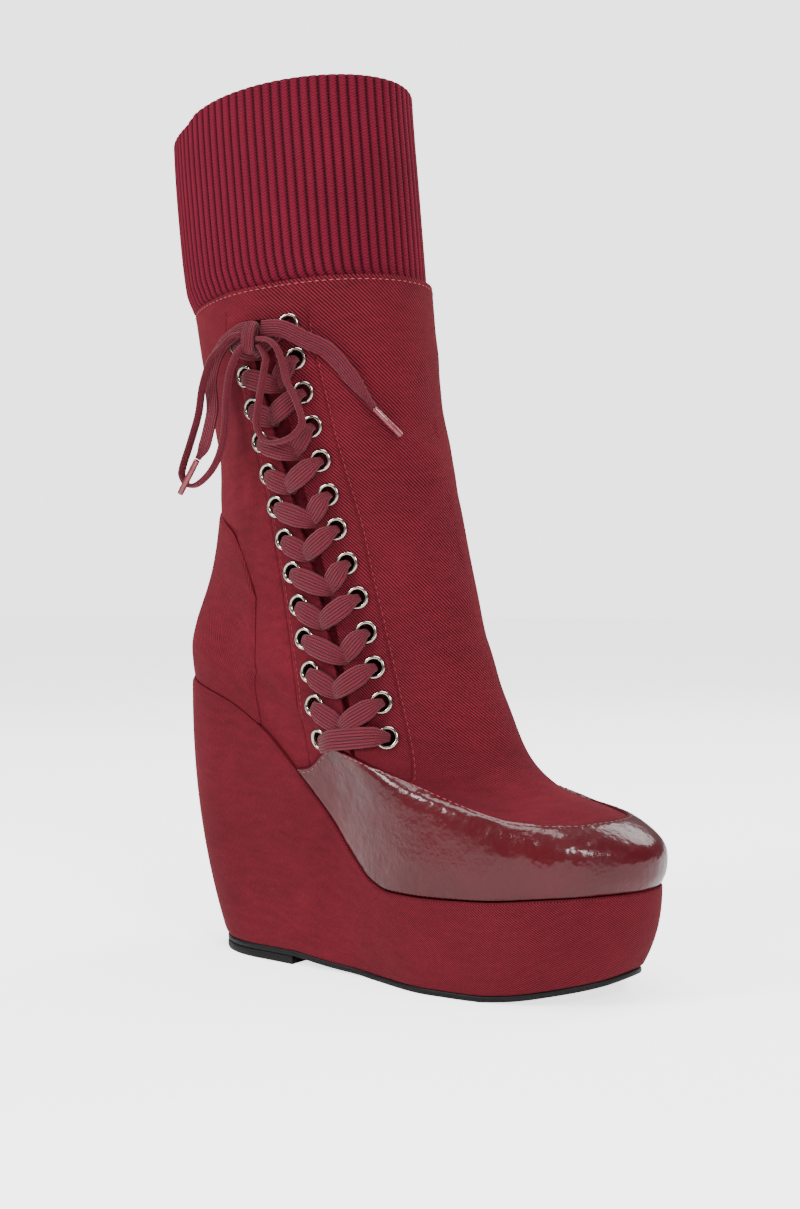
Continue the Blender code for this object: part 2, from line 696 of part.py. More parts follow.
def make_eyelets(look, home, upper):
    shell = BVHTree.FromObject(upper, bpy.context.evaluated_depsgraph_get())
    holes = bmesh.new()
    for side, line in (("front", front_eyelet_line), ("rear", rear_eyelet_line)):
        for level in range(eyelet_levels):
            centre, out = eyelet_place(line, level)
            centre = seated(shell, centre, out, eyelet_outer)
            turn = out.to_track_quat("Z", "X")
            drill = Matrix.Translation(centre) @ turn.to_matrix().to_4x4()
            bmesh.ops.create_cone(
                holes, cap_ends=True, segments=eyelet_sides, radius1=hole_radius, radius2=hole_radius,
                depth=4 * wall, matrix=drill)
            ring = new_object(f"eyelet_{side}_{level + 1:02d}", eyelet_mesh(), look, home)
            ring.location = centre
            ring.rotation_mode = "QUATERNION"
            ring.rotation_quaternion = turn
    cutters = bpy.data.collections["cutters"]
    cutter = new_object("eyelet_holes", finished(holes, "eyelet_holes"), None, cutters)
    cutter.hide_render = True
    cutter.display_type = "WIRE"
    cut(upper, cutter)


def eyelet_mesh():
    """A flanged ring turned about Z, its flange over Z = 0."""
    foot = -wall - barrel_end
    profile = [
        (eyelet_barrel, foot), (eyelet_barrel, flange_seat), (eyelet_outer, flange_seat),
        (eyelet_bore, flange_seat + eyelet_crown), (eyelet_bore, foot)]
    rings = []
    for k in range(eyelet_sides):
        turn = 2 * math.pi * k / eyelet_sides
        rings.append([Vector((radius * math.cos(turn), radius * math.sin(turn), z)) for radius, z in profile])
    return loft("eyelet", rings, caps="loop")


def ribbon(points, across, widths, thickness):
    """A flat strip through the points. across gives the way of its width at each point."""
    rings = []
    for i, point in enumerate(points):
        along = (points[min(i + 1, len(points) - 1)] - points[max(i - 1, 0)]).normalized()
        side = (across[i] - along * across[i].dot(along)).normalized()
        face = along.cross(side) * thickness / 2
        side = side * widths[i] / 2
        rings.append([point + side + face, point - side + face, point - side - face, point + side - face])
    return loft("ribbon", rings, caps="flat")


def over_skin(x, z, height):
    """A point this high over the outer side's skin, from its place in the side view, and the way out."""
    low, high = 1.5, float(collar)
    for _ in range(30):
        v = (low + high) / 2
        back, front = laced_side
        for _ in range(30):
            around = (back + front) / 2
            if skin(around, v).x < x:
                back = around
            else:
                front = around
        if skin(around, v).z < z:
            low = v
        else:
            high = v
    return off_skin(around, v, height), outward(around, v)


def slit_middle(level):
    """X and Z of the slit's middle where the strips of a level end."""
    z = platform_height + (strip_foot + strip_climb * level / (eyelet_levels - 1)) * shaft_front
    return line_x(slit_line, z), z


def strip_height(rise):
    return strip_lying + (strip_riding - strip_lying) * rise


def lace_strip(start, goal, on_top):
    points, across, widths = [], [], []
    for share, width, top, under in strip_shape:
        x, z = start[0] + (goal[0] - start[0]) * share, start[1] + (goal[1] - start[1]) * share
        point, out = over_skin(x, z, strip_height(top if on_top else under))
        way = Vector((goal[0] - start[0], 0, goal[1] - start[1]))
        points.append(point)
        across.append(out.cross(way))
        widths.append(lace_width * width)
    return ribbon(points, across, widths, lace_thickness)


def lace_bar(rear, front):
    points, widths = [], []
    for share, width, rise in bar_shape:
        x, z = rear[0] + (front[0] - rear[0]) * share, rear[1] + (front[1] - rear[1]) * share
        points.append(over_skin(x, z, strip_height(rise))[0])
        widths.append(lace_width * width)
    return ribbon(points, [Vector((0, 0, 1))] * len(points), widths, lace_thickness)


def side_places(line):
    """X and Z of one row's eyelets."""
    centres = [eyelet_place(line, level)[0] for level in range(eyelet_levels)]
    return [(centre.x, centre.z) for centre in centres]


def make_crossings(look, home):
    """Each pair of strips, joined where they cross. The bar at the lacing's foot is joined to the first."""
    front, rear = side_places(front_eyelet_line), side_places(rear_eyelet_line)
    for level in range(1, eyelet_levels):
        x, z = slit_middle(level - strip_drop)
        front_on_top = level <= 2 or level % 2 == 0
        sign, top_row, under_row = (1, front, rear) if front_on_top else (-1, rear, front)
        top = lace_strip(top_row[level], (x - sign * top_reach, z), True)
        crossing = new_object(f"lace_crossing_{level:02d}", top, look, home)
        joined = [lace_strip(under_row[level], (x - sign * under_stop, z), False)]
        if level == 1:
            joined.append(lace_bar(rear[0], front[0]))
        for mesh in joined:
            strip = new_object("strip", mesh, None, bpy.data.collections["cutters"])
            cut(crossing, strip, "UNION")
            bpy.data.objects.remove(strip)


def make_free_laces(look, clear, home):
    out = Vector((0.12, -0.99, 0.0))      # away from the shaft where the bow hangs
    for name, points, upright, width in (
            ("lace_loop_middle", loop_middle, True, 0.49), ("lace_loop_left", loop_left, True, 0.49),
            ("lace_end_right", end_right, False, 0.80), ("lace_end_left", end_left, False, 0.70)):
        route = [Vector(point) * mm for point in points]
        across = []
        for i in range(len(route)):
            along = (route[min(i + 1, len(route) - 1)] - route[max(i - 1, 0)]).normalized()
            across.append(out if upright else out.cross(along))
        mesh = ribbon(route, across, [lace_width * width] * len(route), lace_thickness)
        new_object(name, mesh, look, home)
    for name, (start, end) in (("aglet_right", aglet_right), ("aglet_left", aglet_left)):
        low, high = Vector(start) * mm, Vector(end) * mm
        way = high - low
        turn = way.to_track_quat("Z", "X").to_matrix().to_4x4()
        rod = bmesh.new()
        bmesh.ops.create_cone(
            rod, cap_ends=True, segments=8, radius1=aglet_radius, radius2=aglet_radius, depth=way.length,
            matrix=Matrix.Translation((low + high) / 2) @ turn)
        new_object(name, finished(rod, name), clear, home)
    knot = bmesh.new()
    middle = Vector(knot_place) * mm
    bmesh.ops.create_icosphere(knot, subdivisions=2, radius=0.5)
    bmesh.ops.transform(
        knot, matrix=Matrix.Translation(middle) @ Matrix.Diagonal((*knot_size, 1.0)), verts=knot.verts)
    new_object("lace_knot", finished(knot, "lace_knot"), look, home)


def main():
    for obj in list(bpy.data.objects):
        bpy.data.objects.remove(obj)
    home = bpy.data.collections.new("wedge_ankle_boot")
    cutters = bpy.data.collections.new("cutters")
    bpy.context.scene.collection.children.link(home)
    bpy.context.scene.collection.children.link(cutters)
    twill = new_material("burgundy twill", (0.23, 0.016, 0.026), 0.85)
    covered = new_material("wedge cloth", (0.25, 0.015, 0.024), 0.85)
    patent = new_material("wine patent", (0.10, 0.007, 0.014), 0.12)
    knit = new_material("crimson rib knit", (0.27, 0.011, 0.032), 0.9)
    rubber = new_material("black rubber", (0.012, 0.012, 0.013), 0.6)
    lining = new_material("insole lining", (0.16, 0.012, 0.02), 0.8)
    nickel = new_material("nickel", (0.72, 0.70, 0.66), 0.22, 1.0)
    braid = new_material("burgundy braid", (0.14, 0.008, 0.017), 0.8)
    clear = new_material("aglet film", (0.12, 0.008, 0.016), 0.25)

    make_wedge(covered, home)
    make_outsole(rubber, home)
    make_heel_lift(rubber, home)
    make_insole(lining, home)
    upper = make_upper(twill, home)
    make_gusset(twill, home)
    make_counter(twill, home)
    make_mudguard(patent, home)
    make_cuff(knit, home)
    make_eyelets(nickel, home, upper)
    make_crossings(braid, home)
    make_free_laces(braid, clear, home)


main()
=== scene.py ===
# Wedge ankle boot for the right foot: a burgundy twill upper laced at its outer side, a rib knit cuff, a
# wine patent mudguard and a cloth covered wedge. Metres, the toe to +X, the outer side of the foot to -Y.

import math

import bpy
from mathutils import Matrix, Vector, noise


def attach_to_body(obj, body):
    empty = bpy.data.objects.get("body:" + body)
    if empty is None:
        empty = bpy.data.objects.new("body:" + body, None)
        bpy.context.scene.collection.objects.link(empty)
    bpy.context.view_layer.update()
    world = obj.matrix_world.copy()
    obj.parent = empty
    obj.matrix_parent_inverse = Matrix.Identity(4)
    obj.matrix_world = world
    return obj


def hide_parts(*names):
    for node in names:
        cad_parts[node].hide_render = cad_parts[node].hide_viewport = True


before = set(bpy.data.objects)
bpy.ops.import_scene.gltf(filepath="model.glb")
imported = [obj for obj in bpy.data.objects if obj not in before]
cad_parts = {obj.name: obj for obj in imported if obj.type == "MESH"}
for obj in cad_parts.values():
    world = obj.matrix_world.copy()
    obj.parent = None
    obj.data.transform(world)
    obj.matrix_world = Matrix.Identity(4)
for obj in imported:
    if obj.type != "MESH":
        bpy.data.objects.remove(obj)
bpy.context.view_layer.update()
mm = 0.001

# The camera, at the photograph's angle

cameraPlace = {
    "eye": (0.4552, -0.5346, 0.155), "target": (0.0437, 0.0317, 0.155), "sensorHeight": 24.0,
    "lens": 30.57}


def placeCamera():
    bpy.ops.object.camera_add(location=cameraPlace["eye"])
    camera = bpy.context.active_object
    camera.name = "studioCamera"
    look = Vector(cameraPlace["target"]) - Vector(cameraPlace["eye"])
    camera.rotation_euler = look.to_track_quat("-Z", "Y").to_euler()
    camera.data.sensor_fit = "VERTICAL"
    camera.data.sensor_height = cameraPlace["sensorHeight"]
    camera.data.lens = cameraPlace["lens"]
    camera.data.clip_start = 0.01
    bpy.context.scene.camera = camera


placeCamera()

# Sizes of the last, as the solids have them

last = {
    "length": 223 * mm, "ballWidth": 84 * mm, "heelWidth": 60 * mm, "waistWidth": 84 * mm,
    "collarWidth": 90 * mm, "heelHeight": 124 * mm, "platformHeight": 39.2 * mm, "instepHeight": 95 * mm,
    "shaftFront": 249.5 * mm, "shaftBack": 160 * mm, "heelBack": -42.5 * mm, "toeSwing": 9 * mm,
    "swingStart": 20 * mm, "swingRun": 160 * mm, "waistAt": 0.42, "heelUntil": 0.13,
    "ballAt": {"Out": 0.66, "In": 0.70}, "featherFade": 6.0, "wall": 2 * mm, "clearance": 0.3 * mm,
    "tiny": 1e-9}

featherLine = [
    [0.000, 1.000], [0.063, 0.958], [0.157, 0.880], [0.256, 0.735], [0.345, 0.530], [0.389, 0.416],
    [0.437, 0.278], [0.482, 0.143], [0.527, 0.045], [0.581, 0.002], [0.650, 0.000], [0.780, 0.012],
    [0.890, 0.040], [1.000, 0.063]]

# Each section: ends as shares of the last length and of the rises, half widths, rounding, sag
sectionNames = (
    "backX", "backRise", "frontX", "frontRise", "heelOut", "heelIn", "waistOut", "waistIn", "ballOut",
    "ballIn", "backRound", "frontRound", "sag")
sections = [
    [0.000, 0.000, 1.000, 0.000, 0.467, 0.467, 0.345, 0.300, 0.488, 0.476, 0.15, 0.26, 1.00],
    [-.005, 0.044, 1.011, 0.068, 0.490, 0.490, 0.365, 0.333, 0.512, 0.500, 0.16, 0.27, 1.00],
    [-.007, 0.100, 1.007, 0.157, 0.505, 0.505, 0.385, 0.369, 0.512, 0.500, 0.17, 0.28, 1.05],
    [0.003, 0.163, 0.966, 0.236, 0.505, 0.505, 0.405, 0.393, 0.500, 0.488, 0.19, 0.31, 1.20],
    [0.015, 0.213, 0.897, 0.294, 0.505, 0.505, 0.417, 0.417, 0.476, 0.470, 0.22, 0.36, 1.45],
    [0.028, 0.263, 0.814, 0.363, 0.505, 0.505, 0.429, 0.429, 0.458, 0.458, 0.26, 0.41, 1.60],
    [0.041, 0.325, 0.751, 0.489, 0.507, 0.507, 0.429, 0.429, 0.440, 0.440, 0.32, 0.45, 1.50],
    [0.054, 0.406, 0.706, 0.710, 0.527, 0.527, 0.429, 0.429, 0.429, 0.429, 0.38, 0.48, 1.30],
    [0.064, 0.500, 0.659, 1.000, 0.567, 0.567, 0.435, 0.435, 0.429, 0.429, 0.44, 0.50, 1.12],
    [0.061, 0.613, 0.623, 1.204, 0.617, 0.617, 0.452, 0.452, 0.440, 0.440, 0.48, 0.50, 1.00],
    [0.049, 0.744, 0.587, 1.437, 0.667, 0.667, 0.488, 0.488, 0.464, 0.464, 0.50, 0.50, 1.00],
    [0.031, 0.875, 0.549, 1.689, 0.717, 0.717, 0.518, 0.518, 0.500, 0.500, 0.50, 0.50, 1.00],
    [0.016, 1.000, 0.525, 2.000, 0.750, 0.750, 0.542, 0.542, 0.524, 0.524, 0.50, 0.50, 1.00]]
collar = len(sections) - 1

# Lines seen from the side: share of the front's height over the platform, share of the last length
slitLine = [
    [0.220, 0.502], [0.304, 0.478], [0.418, 0.446], [0.531, 0.413], [0.643, 0.377], [0.749, 0.348],
    [0.957, 0.294]]
frontEyeletLine = [
    [0.246, 0.564], [0.370, 0.526], [0.481, 0.491], [0.593, 0.451], [0.704, 0.422], [0.818, 0.391],
    [0.933, 0.364]]
rearEyeletLine = [
    [0.240, 0.418], [0.301, 0.410], [0.411, 0.385], [0.522, 0.358], [0.636, 0.324], [0.739, 0.297],
    [0.909, 0.253]]
frontSeamLine = [
    [0.185, 0.622], [0.265, 0.591], [0.414, 0.543], [0.509, 0.515], [0.589, 0.495], [0.733, 0.449],
    [0.926, 0.400]]
rearGrooveLine = [
    [0.200, 0.377], [0.307, 0.365], [0.380, 0.352], [0.519, 0.325], [0.655, 0.297], [0.730, 0.279],
    [0.936, 0.219]]
mudguardEdge = [
    [0.400, 0.15], [0.425, 1.05], [0.444, 1.90], [0.473, 3.10], [0.501, 3.90], [0.560, 4.40],
    [0.640, 4.20], [0.690, 3.42], [0.740, 3.07], [0.850, 3.25], [0.930, 3.43], [1.000, 3.45]]
lacing = {
    "levels": 13, "slitTop": 5.4 * mm, "slitFoot": 1.2 * mm, "step": 0.7 * mm, "searchBack": 0.12,
    "searchFront": 0.92, "slitLow": 4.3, "slitHigh": 11.6}


def smooth(t):
    t = min(max(t, 0.0), 1.0)
    return t * t * (3 - 2 * t)


def readTable(table, x):
    if x <= table[0][0]:
        return table[0][1]
    if x >= table[-1][0]:
        return table[-1][1]
    i = 0
    while x > table[i + 1][0]:
        i += 1

    def slope(k):
        return (table[k + 1][1] - table[k][1]) / (table[k + 1][0] - table[k][0])

    def tangent(k):
        if k == 0 or k == len(table) - 1:
            return slope(0 if k == 0 else k - 1)
        before, after = slope(k - 1), slope(k)
        return 0.0 if before * after <= 0 else 2 * before * after / (before + after)

    span = table[i + 1][0] - table[i][0]
    t = (x - table[i][0]) / span
    return ((2 * t**3 - 3 * t**2 + 1) * table[i][1] + (t**3 - 2 * t**2 + t) * span * tangent(i)
            + (3 * t**2 - 2 * t**3) * table[i + 1][1] + (t**3 - t**2) * span * tangent(i + 1))


def featherHeight(share):
    return last["platformHeight"] + (last["heelHeight"] - last["platformHeight"]) * readTable(
        featherLine, share)


knownSections = {}


def sectionAt(v):  # a smooth curve through the table's rows, kept for the next call
    v = round(min(max(v, 0.0), float(collar)), 6)
    if v in knownSections:
        return knownSections[v]
    i = min(int(v), collar - 1)
    t = v - i
    low, high = sections[i], sections[i + 1]
    before = sections[i - 1] if i > 0 else [2 * a - b for a, b in zip(low, high)]
    after = sections[i + 2] if i + 2 <= collar else [2 * b - a for a, b in zip(low, high)]
    values = [
        0.5 * (2 * b + (c - a) * t + (2 * a - 5 * b + 4 * c - d) * t**2
               + (3 * b - a - 3 * c + d) * t**3)
        for a, b, c, d in zip(before, low, high, after)]
    knownSections[v] = dict(zip(sectionNames, values))
    return knownSections[v]


def halfWidth(section, share, side, grow=0.0):
    heel = section["heel" + side] * last["heelWidth"] + grow
    waist = section["waist" + side] * last["waistWidth"] + grow
    ball = section["ball" + side] * last["ballWidth"] + grow
    if share < last["waistAt"]:
        fade = (share - last["heelUntil"]) / (last["waistAt"] - last["heelUntil"])
        width = heel + (waist - heel) * smooth(fade)
    else:
        fade = (share - last["waistAt"]) / (last["ballAt"][side] - last["waistAt"])
        width = waist + (ball - waist) * smooth(fade)
    back = 1 - min(share / section["backRound"], 1)
    front = 1 - min((1 - share) / section["frontRound"], 1)
    return width * math.sqrt(max(0.0, 1 - back**2)) * math.sqrt(max(0.0, 1 - front**2))


def swing(x):
    return last["toeSwing"] * smooth((x - last["swingStart"]) / last["swingRun"])


def sidePoint(section, around, backX, frontX, grow=0.0):
    share = (1 - math.cos(math.pi * around)) / 2
    outer = around <= 1
    x = backX + (frontX - backX) * share
    y = halfWidth(section, share, "Out" if outer else "In", grow) * (-1 if outer else 1) + swing(x)
    return share, x, y


toeFeather = featherHeight(1.0)


def skin(around, v):  # the upper's outer surface: around is 0 at the back, 1 at the toe
    around %= 2.0
    section = sectionAt(v)
    backX = last["heelBack"] + section["backX"] * last["length"]
    frontX = last["heelBack"] + section["frontX"] * last["length"]
    share, x, y = sidePoint(section, around, backX, frontX)
    rise = section["frontRise"]
    frontZ = toeFeather + last["instepHeight"] * min(rise, 1) + (
        last["shaftFront"] - last["instepHeight"]) * max(rise - 1, 0)
    backZ = last["heelHeight"] + section["backRise"] * last["shaftBack"]
    z = frontZ + (backZ - frontZ) * max(1 - share, 0.0) ** section["sag"]
    if v < last["featherFade"]:
        dip = featherHeight(share) - (toeFeather + (last["heelHeight"] - toeFeather) * (1 - share))
        z += dip * (1 - v / last["featherFade"]) ** 1.5
    return Vector((x, y, z))


def outward(around, v):
    low, high = max(v - 0.1, 0), min(v + 0.1, collar)
    along = skin(around + 0.01, v) - skin(around - 0.01, v)
    return along.cross(skin(around, high) - skin(around, low)).normalized()


def offSkin(around, v, distance):
    return skin(around, v) + outward(around, v) * distance


def lineX(line, z, shift=0.0):
    share = (z - last["platformHeight"]) / last["shaftFront"]
    return last["heelBack"] + readTable(line, share) * last["length"] + shift


def aroundAt(line, v, shift=0.0):  # where a line seen from the side crosses a section
    low, high = lacing["searchBack"], lacing["searchFront"]
    for _ in range(26):
        middle = (low + high) / 2
        point = skin(middle, v)
        if point.x < lineX(line, point.z, shift):
            low = middle
        else:
            high = middle
    return (low + high) / 2


def slitHalf(z):
    share = (z - last["platformHeight"]) / last["shaftFront"]
    low, high = slitLine[0][0], slitLine[-1][0]
    return lacing["slitFoot"] + (lacing["slitTop"] - lacing["slitFoot"]) * min(
        max((share - low) / (high - low), 0), 1)


def slitSide(v, sign):
    middle = skin(aroundAt(slitLine, v), v)
    return aroundAt(slitLine, v, sign * slitHalf(middle.z))


def skinPlace(x, z, around=0.5, v=7.0):  # the place on the outer side that shows at x and z
    nudge = 0.001
    for _ in range(24):
        here = skin(around, v)
        missX, missZ = x - here.x, z - here.z
        if abs(missX) + abs(missZ) < last["tiny"] * 100:
            break
        goAround = (skin(around + nudge, v) - here) / nudge
        goUp = (skin(around, v + nudge) - here) / nudge if v < collar - nudge else (
            here - skin(around, v - nudge)) / nudge
        area = goAround.x * goUp.z - goAround.z * goUp.x
        around += min(max((missX * goUp.z - missZ * goUp.x) / area, -0.1), 0.1)
        v += min(max((goAround.x * missZ - goAround.z * missX) / area, -1.0), 1.0)
        around = min(max(around, 0.03), 0.97)
        v = min(max(v, 0.3), float(collar))
    return around, v


def overSkin(x, z, height):
    around, v = skinPlace(x, z)
    return offSkin(around, v, height), outward(around, v)


def edgeSection(around):
    around %= 2.0
    return readTable(mudguardEdge, around if around <= 1 else 2 - around)


# Small tools for making pieces


def clearSelection():
    bpy.ops.object.select_all(action="DESELECT")


def choose(piece):
    clearSelection()
    piece.select_set(True)
    bpy.context.view_layer.objects.active = piece


def applyModifier(piece, kind, **settings):
    choose(piece)
    modifier = piece.modifiers.new("finish", kind)
    for name, value in settings.items():
        setattr(modifier, name, value)
    bpy.ops.object.modifier_apply(modifier=modifier.name)


def layGrid(name, across, up, place, attributes=()):
    clearSelection()
    bpy.ops.mesh.primitive_grid_add(x_subdivisions=across, y_subdivisions=up, size=1.0)
    piece = bpy.context.active_object
    piece.name = name
    mesh = piece.data
    spots = [(round((v.co.x + 0.5) * across), round((v.co.y + 0.5) * up)) for v in mesh.vertices]
    shown = [mesh.attributes.new(title, "FLOAT", "POINT") for title in attributes]
    flat = {}
    for vertex, spot in zip(mesh.vertices, spots):
        result = place(*spot)
        vertex.co = result[0]
        flat[spot] = result[1]
        for attribute, value in zip(shown, result[2:]):
            attribute.data[vertex.index].value = value
    layer = mesh.uv_layers.active
    for loop in mesh.loops:
        layer.data[loop.index].uv = flat[spots[loop.vertex_index]]
    mesh.update()
    return piece


def mergeSeams(piece, distance=0.001 * mm, faceOut=True):
    choose(piece)
    bpy.ops.object.mode_set(mode="EDIT")
    bpy.ops.mesh.select_all(action="SELECT")
    bpy.ops.mesh.remove_doubles(threshold=distance)
    if faceOut:
        bpy.ops.mesh.normals_make_consistent(inside=False)
    bpy.ops.object.mode_set(mode="OBJECT")


def shadeSoft(piece, angle=50):
    choose(piece)
    bpy.ops.object.shade_smooth_by_angle(angle=math.radians(angle))


def attach(piece, look, slot, *nodes):
    piece.data.materials.clear()
    piece.data.materials.append(look)
    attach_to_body(piece, "root")
    present = [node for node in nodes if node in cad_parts]
    if present:
        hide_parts(*present)
    return piece


def arcLengths(rows):  # metres along each row and up each column of a net of points
    alongRows, upColumns = [], []
    for r, row in enumerate(rows):
        lengths = [0.0]
        for a, b in zip(row, row[1:]):
            lengths.append(lengths[-1] + (b - a).length)
        alongRows.append(lengths)
        if r == 0:
            upColumns.append([0.0] * len(row))
        else:
            upColumns.append([
                upColumns[-1][k] + (row[k] - rows[r - 1][k]).length for k in range(len(row))])
    return alongRows, upColumns


def netPiece(name, rows, attributes=(), values=None, centre=0, fromTop=False):
    alongRows, upColumns = arcLengths(rows)

    def place(s, t):
        up = upColumns[t][s] - (upColumns[-1][s] if fromTop else 0.0)
        flat = (alongRows[t][s] - alongRows[t][centre], up)
        extra = [value[t][s] for value in values] if values else []
        return (rows[t][s], flat, *extra)

    return layGrid(name, len(rows[0]) - 1, len(rows) - 1, place, attributes)


def smoothRoute(points, between):  # a curve through the points, with more points between them
    route = []
    for i in range(len(points) - 1):
        a = points[i - 1] if i else points[0] * 2 - points[1]
        b, c = points[i], points[i + 1]
        d = points[i + 2] if i + 2 < len(points) else points[-1] * 2 - points[-2]
        for k in range(between):
            t = k / between
            route.append(0.5 * (
                b * 2 + (c - a) * t + (a * 2 - b * 5 + c * 4 - d) * t**2
                + (b * 3 - a - c * 3 + d) * t**3))
    route.append(points[-1].copy())
    return route


# Materials


def tint(red, green, blue):  # from screen values of 0 to 255
    def straight(value):
        value /= 255
        return value / 12.92 if value <= 0.04045 else ((value + 0.055) / 1.055) ** 2.4
    return (straight(red), straight(green), straight(blue), 1.0)


def newLook(name, colour, roughness, metallic=0.0, specular=0.5):
    look = bpy.data.materials.new(name)
    look.use_nodes = True
    shader = look.node_tree.nodes["Principled BSDF"]
    shader.inputs["Base Color"].default_value = colour
    shader.inputs["Roughness"].default_value = roughness
    shader.inputs["Metallic"].default_value = metallic
    shader.inputs["Specular IOR Level"].default_value = specular
    return look, look.node_tree, shader


def addNode(tree, kind, sockets=None, **settings):
    made = tree.nodes.new(kind)
    for name, value in settings.items():
        setattr(made, name, value)
    for name, value in (sockets or {}).items():
        if isinstance(value, bpy.types.NodeSocket):
            tree.links.new(value, made.inputs[name])
        else:
            made.inputs[name].default_value = value
    return made


def calc(tree, operation, a, b=0.0, clamp=False):
    node = addNode(tree, "ShaderNodeMath", {0: a, 1: b}, operation=operation, use_clamp=clamp)
    return node.outputs[0]


def mixOf(tree, parts, offset=0.0, clamp=False):  # the sum of several patterns, each with its share
    total = None
    for pattern, share in parts:
        part = calc(tree, "MULTIPLY", pattern, share)
        total = part if total is None else calc(tree, "ADD", total, part)
    return calc(tree, "ADD", total, offset, clamp) if offset or clamp else total


def blendColour(tree, amount, dark, bright):
    node = addNode(tree, "ShaderNodeMix", {0: amount, 6: dark, 7: bright}, data_type="RGBA")
    node.clamp_factor = True
    return node.outputs[2]


def pieceUv(tree):
    return addNode(tree, "ShaderNodeTexCoord").outputs["UV"]


def pieceSpace(tree):
    return addNode(tree, "ShaderNodeTexCoord").outputs["Object"]


def noiseOf(tree, vector, scale, detail=3.0, roughness=0.5):
    node = addNode(tree, "ShaderNodeTexNoise", {
        "Vector": vector, "Scale": scale, "Detail": detail, "Roughness": roughness})
    return node.outputs["Fac"]


def wavesOf(tree, vector, pitch, distortion=0.0, detailScale=1.0):
    node = addNode(tree, "ShaderNodeTexWave", {
        "Vector": vector, "Scale": 2 * math.pi / 20 / pitch, "Distortion": distortion, "Detail": 2.0,
        "Detail Scale": detailScale}, wave_type="BANDS", bands_direction="X", wave_profile="SIN")
    return node.outputs["Fac"]


def turned(tree, vector, degrees, stretch=(1.0, 1.0, 1.0)):
    node = addNode(tree, "ShaderNodeMapping", {
        "Vector": vector, "Rotation": (0.0, 0.0, math.radians(degrees)), "Scale": stretch})
    return node.outputs["Vector"]


def attributeOf(tree, name):
    return addNode(tree, "ShaderNodeAttribute", attribute_name=name).outputs["Fac"]


def bumpInto(tree, shader, height, strength, distance, coatToo=False):
    bump = addNode(tree, "ShaderNodeBump", {
        "Height": height, "Strength": strength, "Distance": distance})
    tree.links.new(bump.outputs["Normal"], shader.inputs["Normal"])
    if coatToo:
        tree.links.new(bump.outputs["Normal"], shader.inputs["Coat Normal"])


# dark: the colour painted into the weave's valleys as shade; bright: the colour of the ridges, painted as
# lit
clothLooks = {
    "twill": {
        "dark": tint(30, 4, 11), "bright": tint(110, 25, 38), "pitch": 1.22 * mm, "lean": -43,
        "ridge": 0.30, "roughness": 0.92, "bumpDepth": 0.26 * mm},
    "wedgeCloth": {
        "dark": tint(44, 6, 14), "bright": tint(104, 25, 37), "pitch": 1.25 * mm, "lean": 3,
        "ridge": 0.26, "roughness": 0.92, "bumpDepth": 0.16 * mm},
    "lining": {
        "dark": tint(64, 8, 14), "bright": tint(118, 22, 34), "pitch": 0.9 * mm, "lean": 45,
        "ridge": 0.12, "roughness": 0.95, "bumpDepth": 0.08 * mm}}


def clothLook(name):  # ridged cloth, whose ridges, and the shade painted darker into the valleys between them, fade with the piece's own ridge attribute
    sizes = clothLooks[name]
    look, tree, shader = newLook(name, sizes["bright"], sizes["roughness"], specular=0.12)
    flat = pieceUv(tree)
    ridges = wavesOf(tree, turned(tree, flat, sizes["lean"]), sizes["pitch"], 0.9, 0.6)
    show = attributeOf(tree, "ridgeAndShadeShow")
    # painted shade: the ridge wave lightens the ridges and darkens the valleys between them, mixed below
    # with the yarn's own random tone
    ridgeLiftAndShade = calc(tree, "MULTIPLY", calc(tree, "SUBTRACT", ridges, 0.5), show)
    yarn = noiseOf(tree, turned(tree, flat, sizes["lean"], (1.0, 0.35, 1.0)), 1900.0, 2.0, 0.6)
    cloud = noiseOf(tree, pieceSpace(tree), 24.0, 3.0, 0.55)
    slub = noiseOf(tree, turned(tree, flat, 0, (0.25, 1.0, 1.0)), 330.0, 2.0, 0.5)
    shares = [(ridgeLiftAndShade, 1.1), (yarn, 0.7), (cloud, 0.55), (slub, 0.35)]
    amount = mixOf(tree, shares, 0.5 - 0.5 * sum(share for _, share in shares[1:]), clamp=True)
    colour = blendColour(tree, amount, sizes["dark"], sizes["bright"])
    tree.links.new(colour, shader.inputs["Base Color"])
    height = mixOf(tree, [(ridgeLiftAndShade, 1.0), (yarn, sizes["ridge"])])
    bumpInto(tree, shader, height, 0.8, sizes["bumpDepth"])
    shader.inputs["Sheen Weight"].default_value = 0.12
    shader.inputs["Sheen Roughness"].default_value = 0.45
    shader.inputs["Sheen Tint"].default_value = tint(190, 60, 70)
    return look


patentSizes = {
    "dark": tint(52, 4, 12), "bright": tint(78, 8, 18), "crinkleScale": 620.0, "maskScale": 34.0,
    "bumpDepth": 0.5 * mm}


def patentLook():
    look, tree, shader = newLook("winePatent", patentSizes["bright"], 0.38, specular=0.15)
    spot = pieceSpace(tree)
    cloud = noiseOf(tree, spot, 30.0, 3.0)
    colour = blendColour(tree, cloud, patentSizes["dark"], patentSizes["bright"])
    tree.links.new(colour, shader.inputs["Base Color"])
    mask = calc(tree, "SUBTRACT", noiseOf(tree, spot, patentSizes["maskScale"], 2.0), 0.44)
    mask = calc(tree, "MULTIPLY", mask, 6.0, clamp=True)
    crinkle = noiseOf(tree, spot, patentSizes["crinkleScale"], 4.0, 0.6)
    wide = noiseOf(tree, spot, 90.0, 3.0)
    height = mixOf(tree, [(crinkle, mask), (wide, 3.2)])
    bumpInto(tree, shader, height, 0.75, patentSizes["bumpDepth"], coatToo=True)
    shader.inputs["Coat Weight"].default_value = 0.62
    shader.inputs["Coat Roughness"].default_value = 0.12
    shader.inputs["Coat IOR"].default_value = 1.42
    return look


